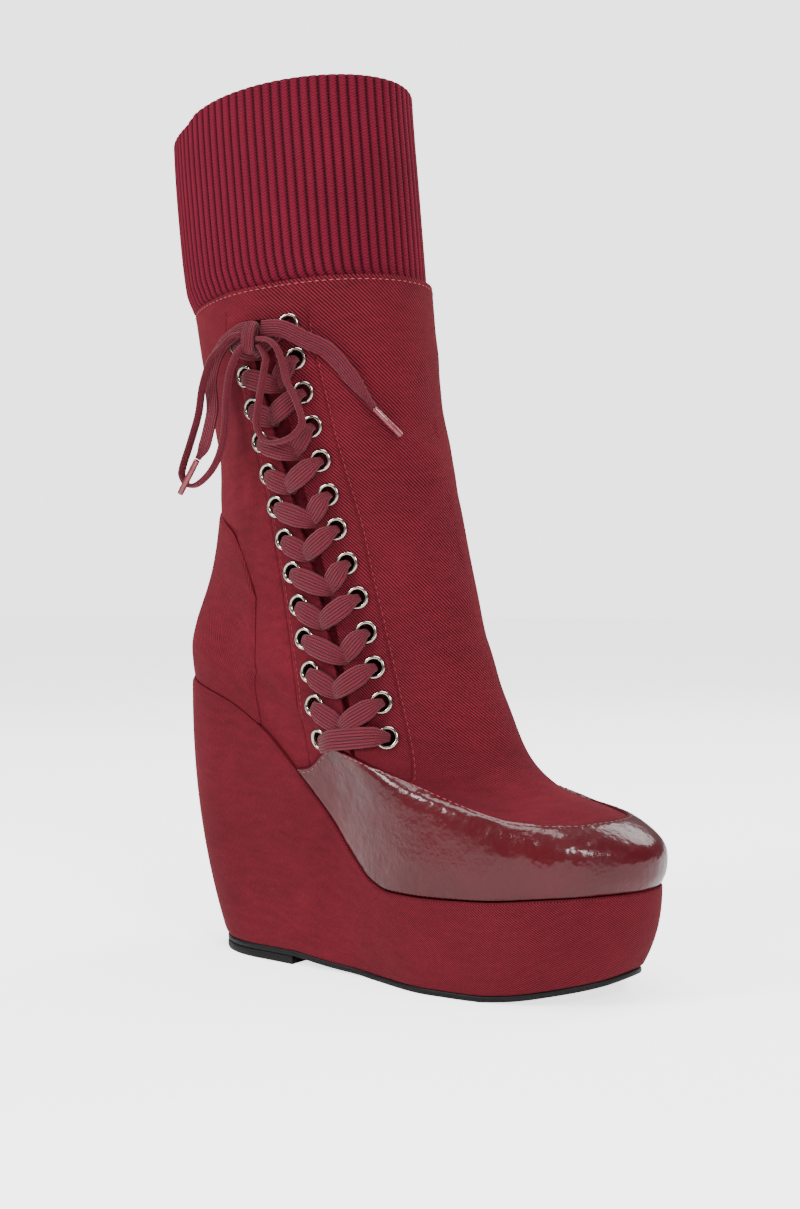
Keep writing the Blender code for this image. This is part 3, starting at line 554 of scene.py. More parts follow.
# groove: the near-black colour painted into the grooves between the ribs as shade
knitSizes = {
    "groove": tint(14, 2, 5), "dark": tint(52, 6, 17), "bright": tint(114, 22, 44), "stitch": 1.5 * mm,
    "yarn": 1.05 * mm, "bumpDepth": 0.25 * mm}


def knitLook():
    look, tree, shader = newLook("ribKnit", knitSizes["bright"], 0.95, specular=0.1)
    flat = pieceUv(tree)
    depth = attributeOf(tree, "grooveDepth")
    courses = wavesOf(tree, turned(tree, flat, 90), knitSizes["stitch"], 0.6, 0.7)
    lean = wavesOf(tree, turned(tree, flat, 62), knitSizes["yarn"], 0.8, 0.8)
    fuzz = noiseOf(tree, flat, 2100.0, 3.0, 0.6)
    cloud = noiseOf(tree, pieceSpace(tree), 28.0)
    # the lean and course waves lighten the yarn legs and darken between them, painted shade mixed with the
    # yarn's random tone
    shares = [(lean, 0.35), (fuzz, 0.5), (courses, 0.16), (cloud, 0.3)]
    amount = mixOf(tree, shares, -0.16, clamp=True)
    band = blendColour(tree, amount, knitSizes["dark"], knitSizes["bright"])
    # painted shade: the grooves between the ribs are darkened toward the groove colour by the groove depth
    # attribute, broken into dashes along the courses
    dash = mixOf(tree, [(courses, 0.55)], 0.62, clamp=True)
    shade = calc(tree, "MULTIPLY", depth, dash, clamp=True)
    colour = blendColour(tree, shade, band, knitSizes["groove"])
    tree.links.new(colour, shader.inputs["Base Color"])
    height = mixOf(tree, [(lean, 0.5), (fuzz, 0.4), (courses, 0.25)])
    bumpInto(tree, shader, height, 0.8, knitSizes["bumpDepth"])
    shader.inputs["Sheen Weight"].default_value = 0.15
    shader.inputs["Sheen Roughness"].default_value = 0.5
    shader.inputs["Sheen Tint"].default_value = tint(190, 60, 80)
    return look


# dark: the near-black colour painted between the braid's cords as shade
laceSizes = {
    "dark": tint(16, 2, 6), "bright": tint(112, 24, 42), "weave": 0.8 * mm, "bumpDepth": 0.2 * mm}


def laceLook():
    look, tree, shader = newLook("laceBraid", laceSizes["bright"], 0.85, specular=0.2)
    flat = pieceUv(tree)
    weave = wavesOf(tree, turned(tree, flat, 90), laceSizes["weave"], 0.5, 0.8)
    diagonal = wavesOf(tree, turned(tree, flat, 55), laceSizes["weave"], 0.3, 0.8)
    fuzz = noiseOf(tree, flat, 2300.0, 2.0)
    # painted light and shade: the cords' tops are lighter and the grooves between them darker, by the rib
    # attribute, with the weave's troughs also darker
    rib = attributeOf(tree, "ribShade")
    amount = mixOf(tree, [(rib, 0.8), (fuzz, 0.35), (weave, 0.32)], -0.4, clamp=True)
    colour = blendColour(tree, amount, laceSizes["dark"], laceSizes["bright"])
    tree.links.new(colour, shader.inputs["Base Color"])
    height = mixOf(tree, [(diagonal, 0.6), (weave, 0.4)])
    bumpInto(tree, shader, height, 0.8, laceSizes["bumpDepth"])
    shader.inputs["Sheen Weight"].default_value = 0.12
    return look


def threadLook(name, colour):
    look, tree, shader = newLook(name, colour, 0.6, specular=0.4)
    twist = noiseOf(tree, pieceSpace(tree), 2600.0, 2.0)
    bumpInto(tree, shader, twist, 0.5, 0.1 * mm)
    return look


def nickelLook():
    look, tree, shader = newLook("nickel", tint(186, 180, 166), 0.18, metallic=1.0)
    scuff = noiseOf(tree, pieceSpace(tree), 300.0, 2.0, 0.5)
    tree.links.new(mixOf(tree, [(scuff, 0.1)], 0.14), shader.inputs["Roughness"])
    return look


def rubberLook():
    look, tree, shader = newLook("blackRubber", tint(10, 9, 10), 0.5, specular=0.25)
    grit = noiseOf(tree, pieceSpace(tree), 900.0, 4.0, 0.6)
    wear = noiseOf(tree, pieceSpace(tree), 60.0, 3.0)
    colour = blendColour(tree, wear, tint(6, 5, 6), tint(17, 15, 16))
    tree.links.new(colour, shader.inputs["Base Color"])
    tree.links.new(mixOf(tree, [(grit, 0.3)], 0.4), shader.inputs["Roughness"])
    bumpInto(tree, shader, grit, 0.4, 0.12 * mm)
    return look


def filmLook():
    look, tree, shader = newLook("agletFilm", tint(96, 18, 30), 0.2, specular=0.5)
    streak = noiseOf(tree, pieceSpace(tree), 320.0, 2.0)
    colour = blendColour(tree, streak, tint(80, 12, 22), tint(132, 52, 60))
    tree.links.new(colour, shader.inputs["Base Color"])
    shader.inputs["Coat Weight"].default_value = 0.6
    return look


looks = {
    "twill": clothLook("twill"), "wedgeCloth": clothLook("wedgeCloth"), "lining": clothLook("lining"),
    "patent": patentLook(), "knit": knitLook(), "lace": laceLook(), "nickel": nickelLook(),
    "rubber": rubberLook(), "film": filmLook(), "thread": threadLook("darkThread", tint(112, 22, 34)),
    "paleThread": threadLook("paleThread", tint(150, 66, 76))}
print("materials made")

# The free laces: two loops and two ends out of one knot, the points chosen in millimetres

loopMiddle = [
    (31.6, -52.2, 265.3), (36.4, -51.1, 264.6), (39.8, -49.6, 261.0), (41.4, -48.0, 255.0),
    (43.1, -46.9, 247.0), (46.5, -45.4, 239.5), (49.0, -44.4, 231.5), (48.0, -44.4, 227.9),
    (43.9, -45.5, 224.3), (38.1, -46.9, 222.5), (33.0, -47.9, 222.7), (30.1, -48.9, 225.7),
    (28.6, -49.5, 230.8), (29.6, -49.8, 237.0), (31.4, -50.0, 244.3), (33.2, -50.0, 252.5),
    (34.2, -50.2, 257.6), (31.5, -51.2, 262.8)]
loopLeft = [
    (23.9, -52.6, 268.2), (19.0, -54.0, 267.1), (14.2, -55.2, 263.1), (9.1, -55.4, 259.1),
    (6.3, -55.2, 255.1), (2.8, -55.0, 246.5), (0.6, -55.0, 235.6), (-4.2, -55.0, 223.6),
    (-8.3, -55.0, 214.4), (-8.9, -55.0, 210.1), (-5.4, -55.0, 206.1), (0.0, -54.6, 206.3),
    (7.0, -54.0, 211.5), (11.7, -53.6, 218.9), (14.6, -53.6, 229.3), (15.6, -54.0, 240.1),
    (17.3, -54.0, 250.9), (20.6, -53.8, 258.5), (24.3, -52.9, 263.0)]
endRight = [
    (31.3, -49.5, 269.9), (40.1, -47.0, 269.4), (48.7, -42.2, 264.7), (57.0, -36.3, 259.5),
    (64.9, -30.7, 248.3), (71.8, -25.5, 236.7)]
endLeft = [
    (24.5, -48.8, 270.9), (19.6, -49.4, 270.3), (15.5, -49.5, 268.5), (10.0, -49.4, 265.3),
    (5.5, -49.8, 258.8), (3.6, -50.4, 249.6), (5.8, -51.8, 238.6), (6.6, -54.8, 229.7),
    (6.3, -57.5, 221.5), (3.6, -58.5, 216.5)]
agletRight = [(72.0, -25.4, 236.3), (80.2, -17.6, 224.9)]
agletLeft = [(3.4, -58.7, 216.0), (-5.7, -59.6, 202.0)]
knotPlace = Vector((27.7, -51.8, 266.3)) * mm
lace = {
    "width": 9 * mm, "thickness": 1.6 * mm, "ribs": 7, "ribDepth": 0.34 * mm, "sidePoints": 42,
    "loopWidth": 4.4 * mm, "rightWidth": 7.2 * mm, "leftWidth": 6.3 * mm, "agletRadius": 1.3 * mm,
    "away": Vector((0.12, -0.99, 0.0))}


def laceRing(point, along, across, width, thickness, ribs):
    side = (across - along * across.dot(along)).normalized()
    face = side.cross(along).normalized()
    ring, tops = [], []
    count = lace["sidePoints"]
    for half in (1, -1):
        for k in range(count):
            share = (k + 0.5) / count * 2 - 1
            reach = math.sin(share * math.pi / 2) * 0.35 + share * 0.65
            roundness = math.sqrt(max(0.0, 1 - abs(reach) ** 3.2))
            rib = abs(math.sin((reach + 1) / 2 * ribs * math.pi))
            lift = thickness / 2 * roundness + lace["ribDepth"] * (rib - 0.5) * roundness
            ring.append(point + side * (reach * half * width / 2) + face * (lift * half))
            # tops: how high each point stands on its cord, used by the lace material to paint the cords'
            # tops light and the grooves between them dark
            tops.append(rib**0.7)
    return ring, tops


def sweepLace(name, points, acrosses, widths, thicknesses, closed=False):
    rows, values, flats = [], [], []
    travelled = 0.0
    for i, point in enumerate(points):
        if closed:
            along = (points[(i + 1) % len(points)] - points[i - 1]).normalized()
        else:
            along = (points[min(i + 1, len(points) - 1)] - points[max(i - 1, 0)]).normalized()
        ring, tops = laceRing(point, along, acrosses[i], widths[i], thicknesses[i], lace["ribs"])
        rows.append(ring + ring[:1])
        values.append(tops + tops[:1])
        travelled += (point - points[i - 1]).length if i else 0.0
        flats.append([(travelled, widths[i] * k / lace["sidePoints"]) for k in range(len(ring) + 1)])
    if closed:
        rows.append(rows[0])
        values.append(values[0])
        flats.append([(travelled + (points[0] - points[-1]).length, b) for a, b in flats[0]])
    else:
        rows = [[points[0]] * len(rows[0])] + rows + [[points[-1]] * len(rows[0])]
        values = values[:1] + values + values[-1:]
        flats = flats[:1] + flats + flats[-1:]

    def place(s, t):
        return rows[t][s], flats[t][s], values[t][s]

    piece = layGrid(name, len(rows[0]) - 1, len(rows) - 1, place, ("ribShade",))
    mergeSeams(piece)
    shadeSoft(piece, 60)
    return piece


def freeLace(name, spots, upright, width):
    route = smoothRoute([Vector(spot) * mm for spot in spots], 6)
    acrosses = []
    for i in range(len(route)):
        along = (route[min(i + 1, len(route) - 1)] - route[max(i - 1, 0)]).normalized()
        acrosses.append(lace["away"] if upright else lace["away"].cross(along))
    taper = [1.0] * len(route)
    if not upright:  # the free end is gathered into its aglet
        for k in range(7):
            taper[-1 - k] = 0.38 + 0.62 * smooth(k / 7)
    widths = [width * share for share in taper]
    thick = [lace["thickness"] * (1.0 + 0.5 * (1 - share)) for share in taper]
    piece = sweepLace(name + "_braid", route, acrosses, widths, thick)
    length = sum((b - a).length for a, b in zip(route, route[1:]))
    attach(piece, looks["lace"], "lace", name)
    return piece, route, length


def aglet(name, ends):
    low, high = Vector(ends[0]) * mm, Vector(ends[1]) * mm
    middle, way = (low + high) / 2, high - low
    clearSelection()
    bpy.ops.mesh.primitive_cylinder_add(vertices=24, radius=lace["agletRadius"], depth=way.length)
    piece = bpy.context.active_object
    piece.name = name + "_film"
    applyModifier(piece, "BEVEL", width=0.35 * mm, segments=3, limit_method="ANGLE")
    turn = way.to_track_quat("Z", "X").to_matrix().to_4x4()
    piece.data.transform(Matrix.Translation(middle) @ turn)
    shadeSoft(piece)
    return attach(piece, looks["film"], "aglet", name)


def knotBand():
    band = {"tall": 5.6 * mm, "deep": 2.7 * mm, "width": 6.4 * mm, "steps": 44}
    up = Vector((0.16, 0.0, 1.0)).normalized()
    sideways = Vector((1.0, 0.12, -0.16)).normalized()
    points = []
    for k in range(band["steps"]):
        turn = 2 * math.pi * k / band["steps"]
        outwards = lace["away"] * (band["deep"] * math.cos(turn))
        points.append(knotPlace + up * (band["tall"] * math.sin(turn)) + outwards)
    widths = [
        band["width"] * (0.80 + 0.20 * math.cos(2 * math.pi * k / band["steps"]))
        for k in range(band["steps"])]
    piece = sweepLace(
        "lace_knot_band", points, [sideways] * band["steps"], widths,
        [lace["thickness"] * 1.5] * band["steps"], closed=True)
    return attach(piece, looks["lace"], "lace", "lace_knot")


def layFreeLaces():
    knot = knotBand()
    tips = {
        "lace_end_right": aglet("aglet_right", agletRight),
        "lace_end_left": aglet("aglet_left", agletLeft)}
    rows = (
        ("lace_loop_middle", loopMiddle, True, lace["loopWidth"]),
        ("lace_loop_left", loopLeft, True, lace["loopWidth"]),
        ("lace_end_right", endRight, False, lace["rightWidth"]),
        ("lace_end_left", endLeft, False, lace["leftWidth"]))
    for name, spots, upright, width in rows:
        piece, route, length = freeLace(name, spots, upright, width)


layFreeLaces()
print("free laces laid")

# The upper: one shell with eyestays in low relief, creases and pierced eyelet places

upperSizes = {
    "backColumns": 34, "eyestayColumns": 15, "frontColumns": 46, "innerColumns": 92, "lowStep": 0.1,
    "highStep": 0.05, "highFrom": 8.0, "stepRun": 0.9 * mm, "grooveDepth": 0.55 * mm,
    "grooveHalf": 0.9 * mm, "eyestayTopFront": 281.5 * mm, "eyestayTopRear": 278.0 * mm,
    "holeRadius": 3.3 * mm}

# Soft troughs (minus) and swells: the side, x and z in mm, reach along and across, lean in degrees, depth
creases = [
    ("Out", 60, 236, 34, 6.0, -18, -0.9), ("Out", 72, 226, 26, 5.0, -22, 0.7),
    ("Out", 76, 206, 30, 5.5, -30, -0.7), ("Out", 92, 178, 26, 5.0, -38, -0.6),
    ("Out", 100, 158, 24, 5.0, -42, 0.6), ("Out", 108, 146, 24, 4.5, -40, -0.7),
    ("Out", 120, 118, 30, 5.0, -35, -0.5), ("Out", -8, 226, 26, 7.0, 20, -0.8),
    ("Out", -12, 206, 26, 6.0, 24, 0.7), ("Out", -10, 186, 22, 6.0, 16, -0.8),
    ("Out", 10, 160, 24, 6.0, 10, -0.4), ("Out", 68, 262, 26, 7.0, -8, 0.6),
    ("In", 40, 232, 36, 6.5, 12, -0.9), ("In", 44, 214, 34, 6.0, 16, 0.7),
    ("In", 52, 190, 36, 6.0, 22, -0.8), ("In", 78, 160, 30, 5.5, -34, -0.7),
    ("In", 20, 206, 28, 6.0, -14, 0.6), ("In", 0, 178, 28, 6.5, -8, -0.8),
    ("In", 98, 128, 28, 5.0, -36, -0.5), ("In", 56, 262, 32, 7.0, 6, 0.6)]


def creaseHeight(point, side):
    height = 0.0
    for name, x, z, reach, across, lean, depth in creases:
        if name != side:
            continue
        turn = math.radians(lean)
        dx, dz = point.x / mm - x, point.z / mm - z
        along = (dx * math.cos(turn) + dz * math.sin(turn)) / reach
        over = (-dx * math.sin(turn) + dz * math.cos(turn)) / across
        size = along * along + over * over
        if size < 9:
            height += depth * math.exp(-size)
    return height * mm


def fewBetween(a, b, count):
    return [a + (b - a) * (i + 1) / (count + 1) for i in range(count)]


def upperColumns(v):
    groove, seam = rearGrooveLine, frontSeamLine
    run = upperSizes["stepRun"]
    shifts = (-1.6 * run, -0.8 * run, 0.0, 0.7 * run, 1.5 * run)
    grooves = [aroundAt(groove, v, shift) for shift in shifts]
    seams = [aroundAt(seam, v, -shift) for shift in shifts[::-1]]
    rear, front = slitSide(v, -1), slitSide(v, 1)
    side = [0.0] + fewBetween(0, grooves[0], upperSizes["backColumns"]) + grooves
    side += fewBetween(grooves[-1], rear, upperSizes["eyestayColumns"]) + [rear, front]
    side += fewBetween(front, seams[0], upperSizes["eyestayColumns"]) + seams
    side += fewBetween(seams[-1], 1.0, upperSizes["frontColumns"]) + [1.0]
    return side + fewBetween(1.0, 2.0, upperSizes["innerColumns"]) + [2.0]


def eyestayRise(point, inset):  # 1 on the eyestays, 0 off them, with rounded upper corners
    middle = lineX(slitLine, point.z)
    front = point.x > middle
    edge = lineX(frontSeamLine, point.z) if front else lineX(rearGrooveLine, point.z)
    reach = (edge - point.x) if front else (point.x - edge)
    top = upperSizes["eyestayTopFront"] if front else upperSizes["eyestayTopRear"]
    under = top - point.z
    corner = 4 * mm
    if reach < corner and under < corner:
        gap = corner - math.hypot(max(corner - reach, 0), max(corner - under, 0))
        reach, under = gap, gap
    return smooth((min(reach, under) - inset) / upperSizes["stepRun"])


def upperRelief(around, v, point):
    height = creaseHeight(point, "Out" if around <= 1 else "In")
    if around > 1:
        return height
    raised = smooth((v - edgeSection(around) - 0.05) / 0.15)
    height += lacing["step"] * eyestayRise(point, 0.0) * raised
    for line, depth in ((rearGrooveLine, 1.0), (frontSeamLine, 0.5)):
        away = (point.x - lineX(line, point.z)) / upperSizes["grooveHalf"]
        if abs(away) < 1 and point.z < upperSizes["eyestayTopFront"]:
            height -= upperSizes["grooveDepth"] * depth * (1 - away * away) ** 2
    return height


def upperRows():
    low = [upperSizes["lowStep"] * k for k in range(int(upperSizes["highFrom"] / upperSizes["lowStep"]))]
    count = round((collar - upperSizes["highFrom"]) / upperSizes["highStep"])
    return low + [upperSizes["highFrom"] + upperSizes["highStep"] * k for k in range(count + 1)]


def eyeletSeats():
    flangeTop = 1.2 * mm
    seats = []
    for side, line in (("front", frontEyeletLine), ("rear", rearEyeletLine)):
        low, high = line[0][0], line[-1][0]
        for level in range(lacing["levels"]):
            share = low + (high - low) * level / (lacing["levels"] - 1)
            z = last["platformHeight"] + share * last["shaftFront"]
            around, v = skinPlace(lineX(line, z), z)
            centre, out = offSkin(around, v, lacing["step"]), outward(around, v)
            node = f"eyelet_{side}_{level + 1:02d}"
            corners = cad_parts[node].data.vertices
            height = max((corner.co - centre).dot(out) for corner in corners) - flangeTop
            seats.append((node, side, level, centre + out * height, out))
    return seats


seats = eyeletSeats()


def makeUpper():
    levels = upperRows()
    rows, ridgeAndShadeShow = [], []
    for v in levels:
        columns = upperColumns(v)
        row, shown = [], []
        for around in columns:
            point = skin(around, v)
            row.append(point + outward(around, v) * upperRelief(around, v, point))
            front = around > aroundAtSeam(v) and around < 2 - aroundAtSeam(v) * 0.9
            stay = around <= 1 and point.x > lineX(slitLine, point.z)
            # front panel and front eyestay get full ridges with painted valley shade, the other panels
            # weaker, all fading toward the toe
            shown.append((1.0 if front or stay else 0.24) * (1 - 0.8 * smooth((point.x / mm - 112) / 40)))
        rows.append(row)
        ridgeAndShadeShow.append(shown)
    centre = len(upperColumns(6.0)) - upperSizes["innerColumns"] - 2
    piece = netPiece("upper_shell", rows, ("ridgeAndShadeShow",), [ridgeAndShadeShow], centre, fromTop=True)
    slitColumn = upperSizes["backColumns"] + 6 + upperSizes["eyestayColumns"]
    across = len(rows[0]) - 1
    mesh = piece.data
    choose(piece)
    bpy.ops.object.mode_set(mode="EDIT")
    bpy.ops.mesh.select_all(action="DESELECT")
    bpy.ops.object.mode_set(mode="OBJECT")
    for face in mesh.polygons:
        row, column = divmod(face.index, across)
        inSlit = column == slitColumn and lacing["slitLow"] - 0.01 < levels[row] < lacing["slitHigh"] - 0.01
        pierced = any((face.center - seat[3]).length < upperSizes["holeRadius"] for seat in seats)
        face.select = inSlit or pierced
    bpy.ops.object.mode_set(mode="EDIT")
    bpy.ops.mesh.select_mode(type="FACE")
    bpy.ops.mesh.delete(type="FACE")
    bpy.ops.object.mode_set(mode="OBJECT")
    for vertex in piece.data.vertices:
        for _, _, _, centre, out in seats:
            arm = vertex.co - centre
            flat = arm - out * arm.dot(out)
            if arm.length < 2 * upperSizes["holeRadius"] and flat.length < upperSizes["holeRadius"]:
                vertex.co += flat.normalized() * (upperSizes["holeRadius"] - flat.length)
    mergeSeams(piece, faceOut=False)
    applyModifier(piece, "SOLIDIFY", thickness=last["wall"] - 0.1 * mm, offset=-1.0, use_rim=True)
    shadeSoft(piece, 40)
    return attach(piece, looks["twill"], "twill", "upper")


knownSeams = {}


def aroundAtSeam(v):
    if v not in knownSeams:
        knownSeams[v] = aroundAt(frontSeamLine, v)
    return knownSeams[v]


makeUpper()
print("upper made")

# Bands over the shell: mudguard, heel counter, gusset behind the slit


def roundedOffset(inside, edge):  # height of a turned edge: 0 at the edge, 1 inside it
    return math.sqrt(max(0.0, 1 - (1 - min(inside / edge, 1.0)) ** 2))


mudguardSizes = {
    "columns": 220, "rows": 26, "thickness": 1.2 * mm, "foot": 0.06, "edge": 1.3 * mm, "dent": 0.45 * mm,
    "dentScale": 46.0, "pucker": 0.16 * mm, "puckerScale": 260, "puckerFrom": 2 * mm,
    "puckerRun": 5 * mm, "dentRun": 6 * mm, "stitchIn": 2.1 * mm, "stitchHalf": 0.6 * mm,
    "stitchDip": 0.3 * mm, "lip": 1 * mm, "lowDip": 0.3 * mm, "wall": 0.25 * mm}


def makeMudguard():
    sizes = mudguardSizes
    start = mudguardEdge[0][0]
    rows = []
    arounds = [start + (2 - 2 * start) * k / sizes["columns"] for k in range(sizes["columns"] + 1)]
    for r in range(sizes["rows"] + 1):
        share = 1 - (1 - r / sizes["rows"]) ** 1.35
        row = []
        for around in arounds:
            top = edgeSection(around)
            v = sizes["foot"] + (top - sizes["foot"]) * share
            point = skin(around, v)
            fromTop = (skin(around, top) - point).length
            fromFoot = (point - skin(around, sizes["foot"])).length
            lift = sizes["thickness"] * roundedOffset(fromTop, sizes["edge"])
            dents = noise.noise(point * sizes["dentScale"]) * sizes["dent"]
            dents *= smooth(fromTop / sizes["dentRun"])
            puckers = noise.noise(point * sizes["puckerScale"]) * sizes["pucker"]
            puckers *= 1 - smooth((fromTop - sizes["puckerFrom"]) / sizes["puckerRun"])
            stitched = math.exp(-((fromTop - sizes["stitchIn"]) / sizes["stitchHalf"]) ** 2)
            stitched *= sizes["stitchDip"]
            low = sizes["lowDip"] * (1 - roundedOffset(fromFoot, sizes["lip"]))
            rise = last["clearance"] + lift + dents
            if fromTop > sizes["lip"]:
                rise += puckers - stitched
            row.append(point + outward(around, v) * max(rise - low, last["clearance"]))
        rows.append(row)
    piece = netPiece("mudguard_patent", rows, (), None, sizes["columns"] // 2)
    applyModifier(piece, "SOLIDIFY", thickness=sizes["wall"], offset=-1.0, use_rim=True)
    shadeSoft(piece, 70)
    return attach(piece, looks["patent"], "patent", "mudguard")


counterSizes = {
    "columns": 110, "rows": 70, "thickness": 0.9 * mm, "edge": 0.9 * mm, "foot": 0.06,
    "seamIn": 1.9 * mm, "seamHalf": 0.5 * mm, "seamDip": 0.21 * mm, "wall": 0.2 * mm}
counterSide = [[0.0, 0.333], [2.0, 0.331], [5.0, 0.359], [6.1, 0.371], [6.9, 0.376]]
counterTop = [[0.0, 7.78], [0.72, 7.78], [0.89, 7.48], [1.0, 6.93]]


def makeCounter():
    sizes = counterSizes
    rows, show = [], []
    for r in range(sizes["rows"] + 1):
        up = r / sizes["rows"]
        row = []
        for k in range(sizes["columns"] + 1):
            side = k / sizes["columns"] * 2 - 1
            top = readTable(counterTop, abs(side))
            v = sizes["foot"] + (top - sizes["foot"]) * up
            reach = readTable(counterSide, v)
            around = side * reach
            point = skin(around, v)
            edgeGap = (skin(math.copysign(reach, side), v) - point).length
            inside = min(edgeGap, (skin(around, top) - point).length)
            lift = sizes["thickness"] * roundedOffset(inside, sizes["edge"])
            dip = sizes["seamDip"] * math.exp(-((inside - sizes["seamIn"]) / sizes["seamHalf"]) ** 2)
            row.append(point + outward(around, v) * (last["clearance"] + lift - dip))
        rows.append(row)
        show.append([0.35] * len(row))
    piece = netPiece("heel_counter_cloth", rows, ("ridgeAndShadeShow",), [show], sizes["columns"] // 2)
    applyModifier(piece, "SOLIDIFY", thickness=sizes["wall"], offset=-1.0, use_rim=True)
    shadeSoft(piece, 70)
    return attach(piece, looks["twill"], "twill", "heel_counter")


gussetSizes = {"reach": 11 * mm, "columns": 12, "rows": 90, "drop": 0.4 * mm, "thickness": 1.0 * mm}


def makeGusset():
    sizes = gussetSizes
    rows, show = [], []
    low, high = edgeSection(0.55), lacing["slitHigh"]
    for r in range(sizes["rows"] + 1):
        v = low + (high - low) * r / sizes["rows"]
        row = []
        for k in range(sizes["columns"] + 1):
            around = aroundAt(slitLine, v, sizes["reach"] * (k / sizes["columns"] * 2 - 1))
            row.append(offSkin(around, v, -last["wall"] - sizes["drop"]))
        rows.append(row)
        show.append([0.4] * len(row))
    piece = netPiece("gusset_cloth", rows, ("ridgeAndShadeShow",), [show])
    applyModifier(piece, "SOLIDIFY", thickness=sizes["thickness"], offset=-1.0, use_rim=True)
    shadeSoft(piece)
    return attach(piece, looks["twill"], "twill", "gusset")


makeMudguard()
makeCounter()
makeGusset()
print("overlays made")

# Wedge, outsole, heel lift and insole

soleSizes = {
    "outsole": 2.3 * mm, "toeSpring": 10.2 * mm, "archRise": 3.6 * mm, "seatGap": 0.5 * mm,
    "shoulder": 0.8 * mm, "welt": 2.2 * mm, "liftFront": 28 * mm, "insole": 3.0 * mm, "rest": 0.2 * mm,
    "insoleMargin": 0.8 * mm, "inset": 0.4 * mm, "bulge": 2.3, "columns": 220, "rows": 44}
treadLine = [[0.325, 1.00], [0.415, 0.42], [0.513, 0.00]]
springLine = [[0.765, 0.00], [0.818, 0.12], [0.881, 0.38], [0.948, 0.71], [0.984, 1.00], [1.02, 1.18]]
treadSection = dict(zip(sectionNames, [
    0.074, 0.0, 0.973, 0.0, 0.417, 0.417, 0.325, 0.300, 0.470, 0.458, 0.17, 0.29, 1.0]))


def soleUnder(x):
    share = (x - last["heelBack"]) / last["length"]
    if share < 0.6:
        return soleSizes["archRise"] * readTable(treadLine, share)
    return soleSizes["toeSpring"] * readTable(springLine, share)


def treadPoint(around, grow=0.0):
    backX = last["heelBack"] + treadSection["backX"] * last["length"] - grow
    frontX = last["heelBack"] + treadSection["frontX"] * last["length"] + grow
    return sidePoint(treadSection, around % 2.0, backX, frontX, grow)[1:]


def seatPoint(around, grow):
    backX, frontX = last["heelBack"] - grow, last["heelBack"] + last["length"] + grow
    return sidePoint(sectionAt(0.0), around % 2.0, backX, frontX, grow)[1:]


def seatHeight(x):
    return featherHeight(min(max((x - last["heelBack"]) / last["length"], 0.0), 1.0))


def capRows(ring, count):  # rows that shrink a ring of mirrored points to its centre line
    size = len(ring) - 1
    rows = []
    for c in range(1, count + 1):
        share = c / count
        rows.append([
            ring[k].lerp((ring[k] + ring[(size - k) % size]) / 2, share) for k in range(size + 1)])
    return rows


def ringPlaces(columns):
    return [2.0 * k / columns for k in range(columns + 1)]


def makeWedge():
    sizes = soleSizes
    rings = []
    for r in range(sizes["rows"] + 1):
        height = smooth(r / sizes["rows"]) * 0.35 + r / sizes["rows"] * 0.65
        bulge = 1 - (1 - height) ** sizes["bulge"]
        shoulder = sizes["shoulder"] * (1 - math.sqrt(max(0.0, 1 - max((height - 0.97) / 0.03, 0.0) ** 2)))
        lower = 0.6 * mm * max(0.0, 1 - height / 0.02)
        ring = []
        for around in ringPlaces(sizes["columns"]):
            lowX, lowY = treadPoint(around, -lower)
            highX, highY = seatPoint(around, sizes["welt"] - shoulder)
            lowZ = soleUnder(lowX) + sizes["outsole"] + last["clearance"]
            highZ = seatHeight(highX) - sizes["seatGap"]
            low, high = Vector((lowX, lowY, 0)), Vector((highX, highY, 0))
            spot = low.lerp(high, bulge)
            spot.z = lowZ + (highZ - lowZ) * height
            ring.append(spot)
        rings.append(ring)
    rows = capRows(rings[0], 8)[::-1] + rings + capRows(rings[-1], 8)
    # ribs, with the shade painted into their valleys, are weak at the back and full from about 80 mm
    # forward
    show = []
    for row in rows:
        show.append([0.12 + 0.88 * smooth((point.x / mm - 35) / 45) for point in row])
    piece = netPiece("wedge_cover", rows, ("ridgeAndShadeShow",), [show])
    mergeSeams(piece)
    shadeSoft(piece, 50)
    return attach(piece, looks["wedgeCloth"], "wedge_cloth", "wedge_platform")


plateEdge = [  # share of the plate's height, share of its rounded edge
    (0.0, 1.0), (0.12, 0.3), (0.3, 0.0), (0.7, 0.0), (0.88, 0.3), (1.0, 1.0)]


def solePlate(name, look, slot, node, ringAt, low, high, edge):
    rings = []
    for share, insetShare in plateEdge:
        ring = []
        for around in ringPlaces(soleSizes["columns"]):
            x, y = ringAt(around, edge * insetShare)
            ring.append(Vector((x, y, low(x) + (high(x) - low(x)) * share)))
        rings.append(ring)
    rows = capRows(rings[0], 5)[::-1] + rings + capRows(rings[-1], 5)
    show = [[0.5] * len(row) for row in rows]
    piece = netPiece(name, rows, ("ridgeAndShadeShow",), [show])
    mergeSeams(piece)
    shadeSoft(piece, 40)
    return attach(piece, look, slot, node)


def liftPoint(around, inset):
    x, y = treadPoint(around, -soleSizes["inset"] - inset)
    front = soleSizes["liftFront"] - inset
    if x > front:
        share = (front - (last["heelBack"] + treadSection["backX"] * last["length"]))
        share /= (treadSection["frontX"] - treadSection["backX"]) * last["length"]
        half = halfWidth(treadSection, share, "Out", -soleSizes["inset"] - inset)
        y = swing(front) + half * min(max((y - swing(x)) / half, -1), 1)
        x = front
    return x, y


def outsolePoint(around, inset):
    return treadPoint(around, -soleSizes["inset"] - inset)


def insolePoint(around, inset):
    return seatPoint(around, -last["wall"] - soleSizes["insoleMargin"] - inset)


def outsoleTop(x):
    return soleUnder(x) + soleSizes["outsole"]


def ground(x):
    return 0.0


def liftTop(x):
    return soleSizes["archRise"] - last["clearance"]


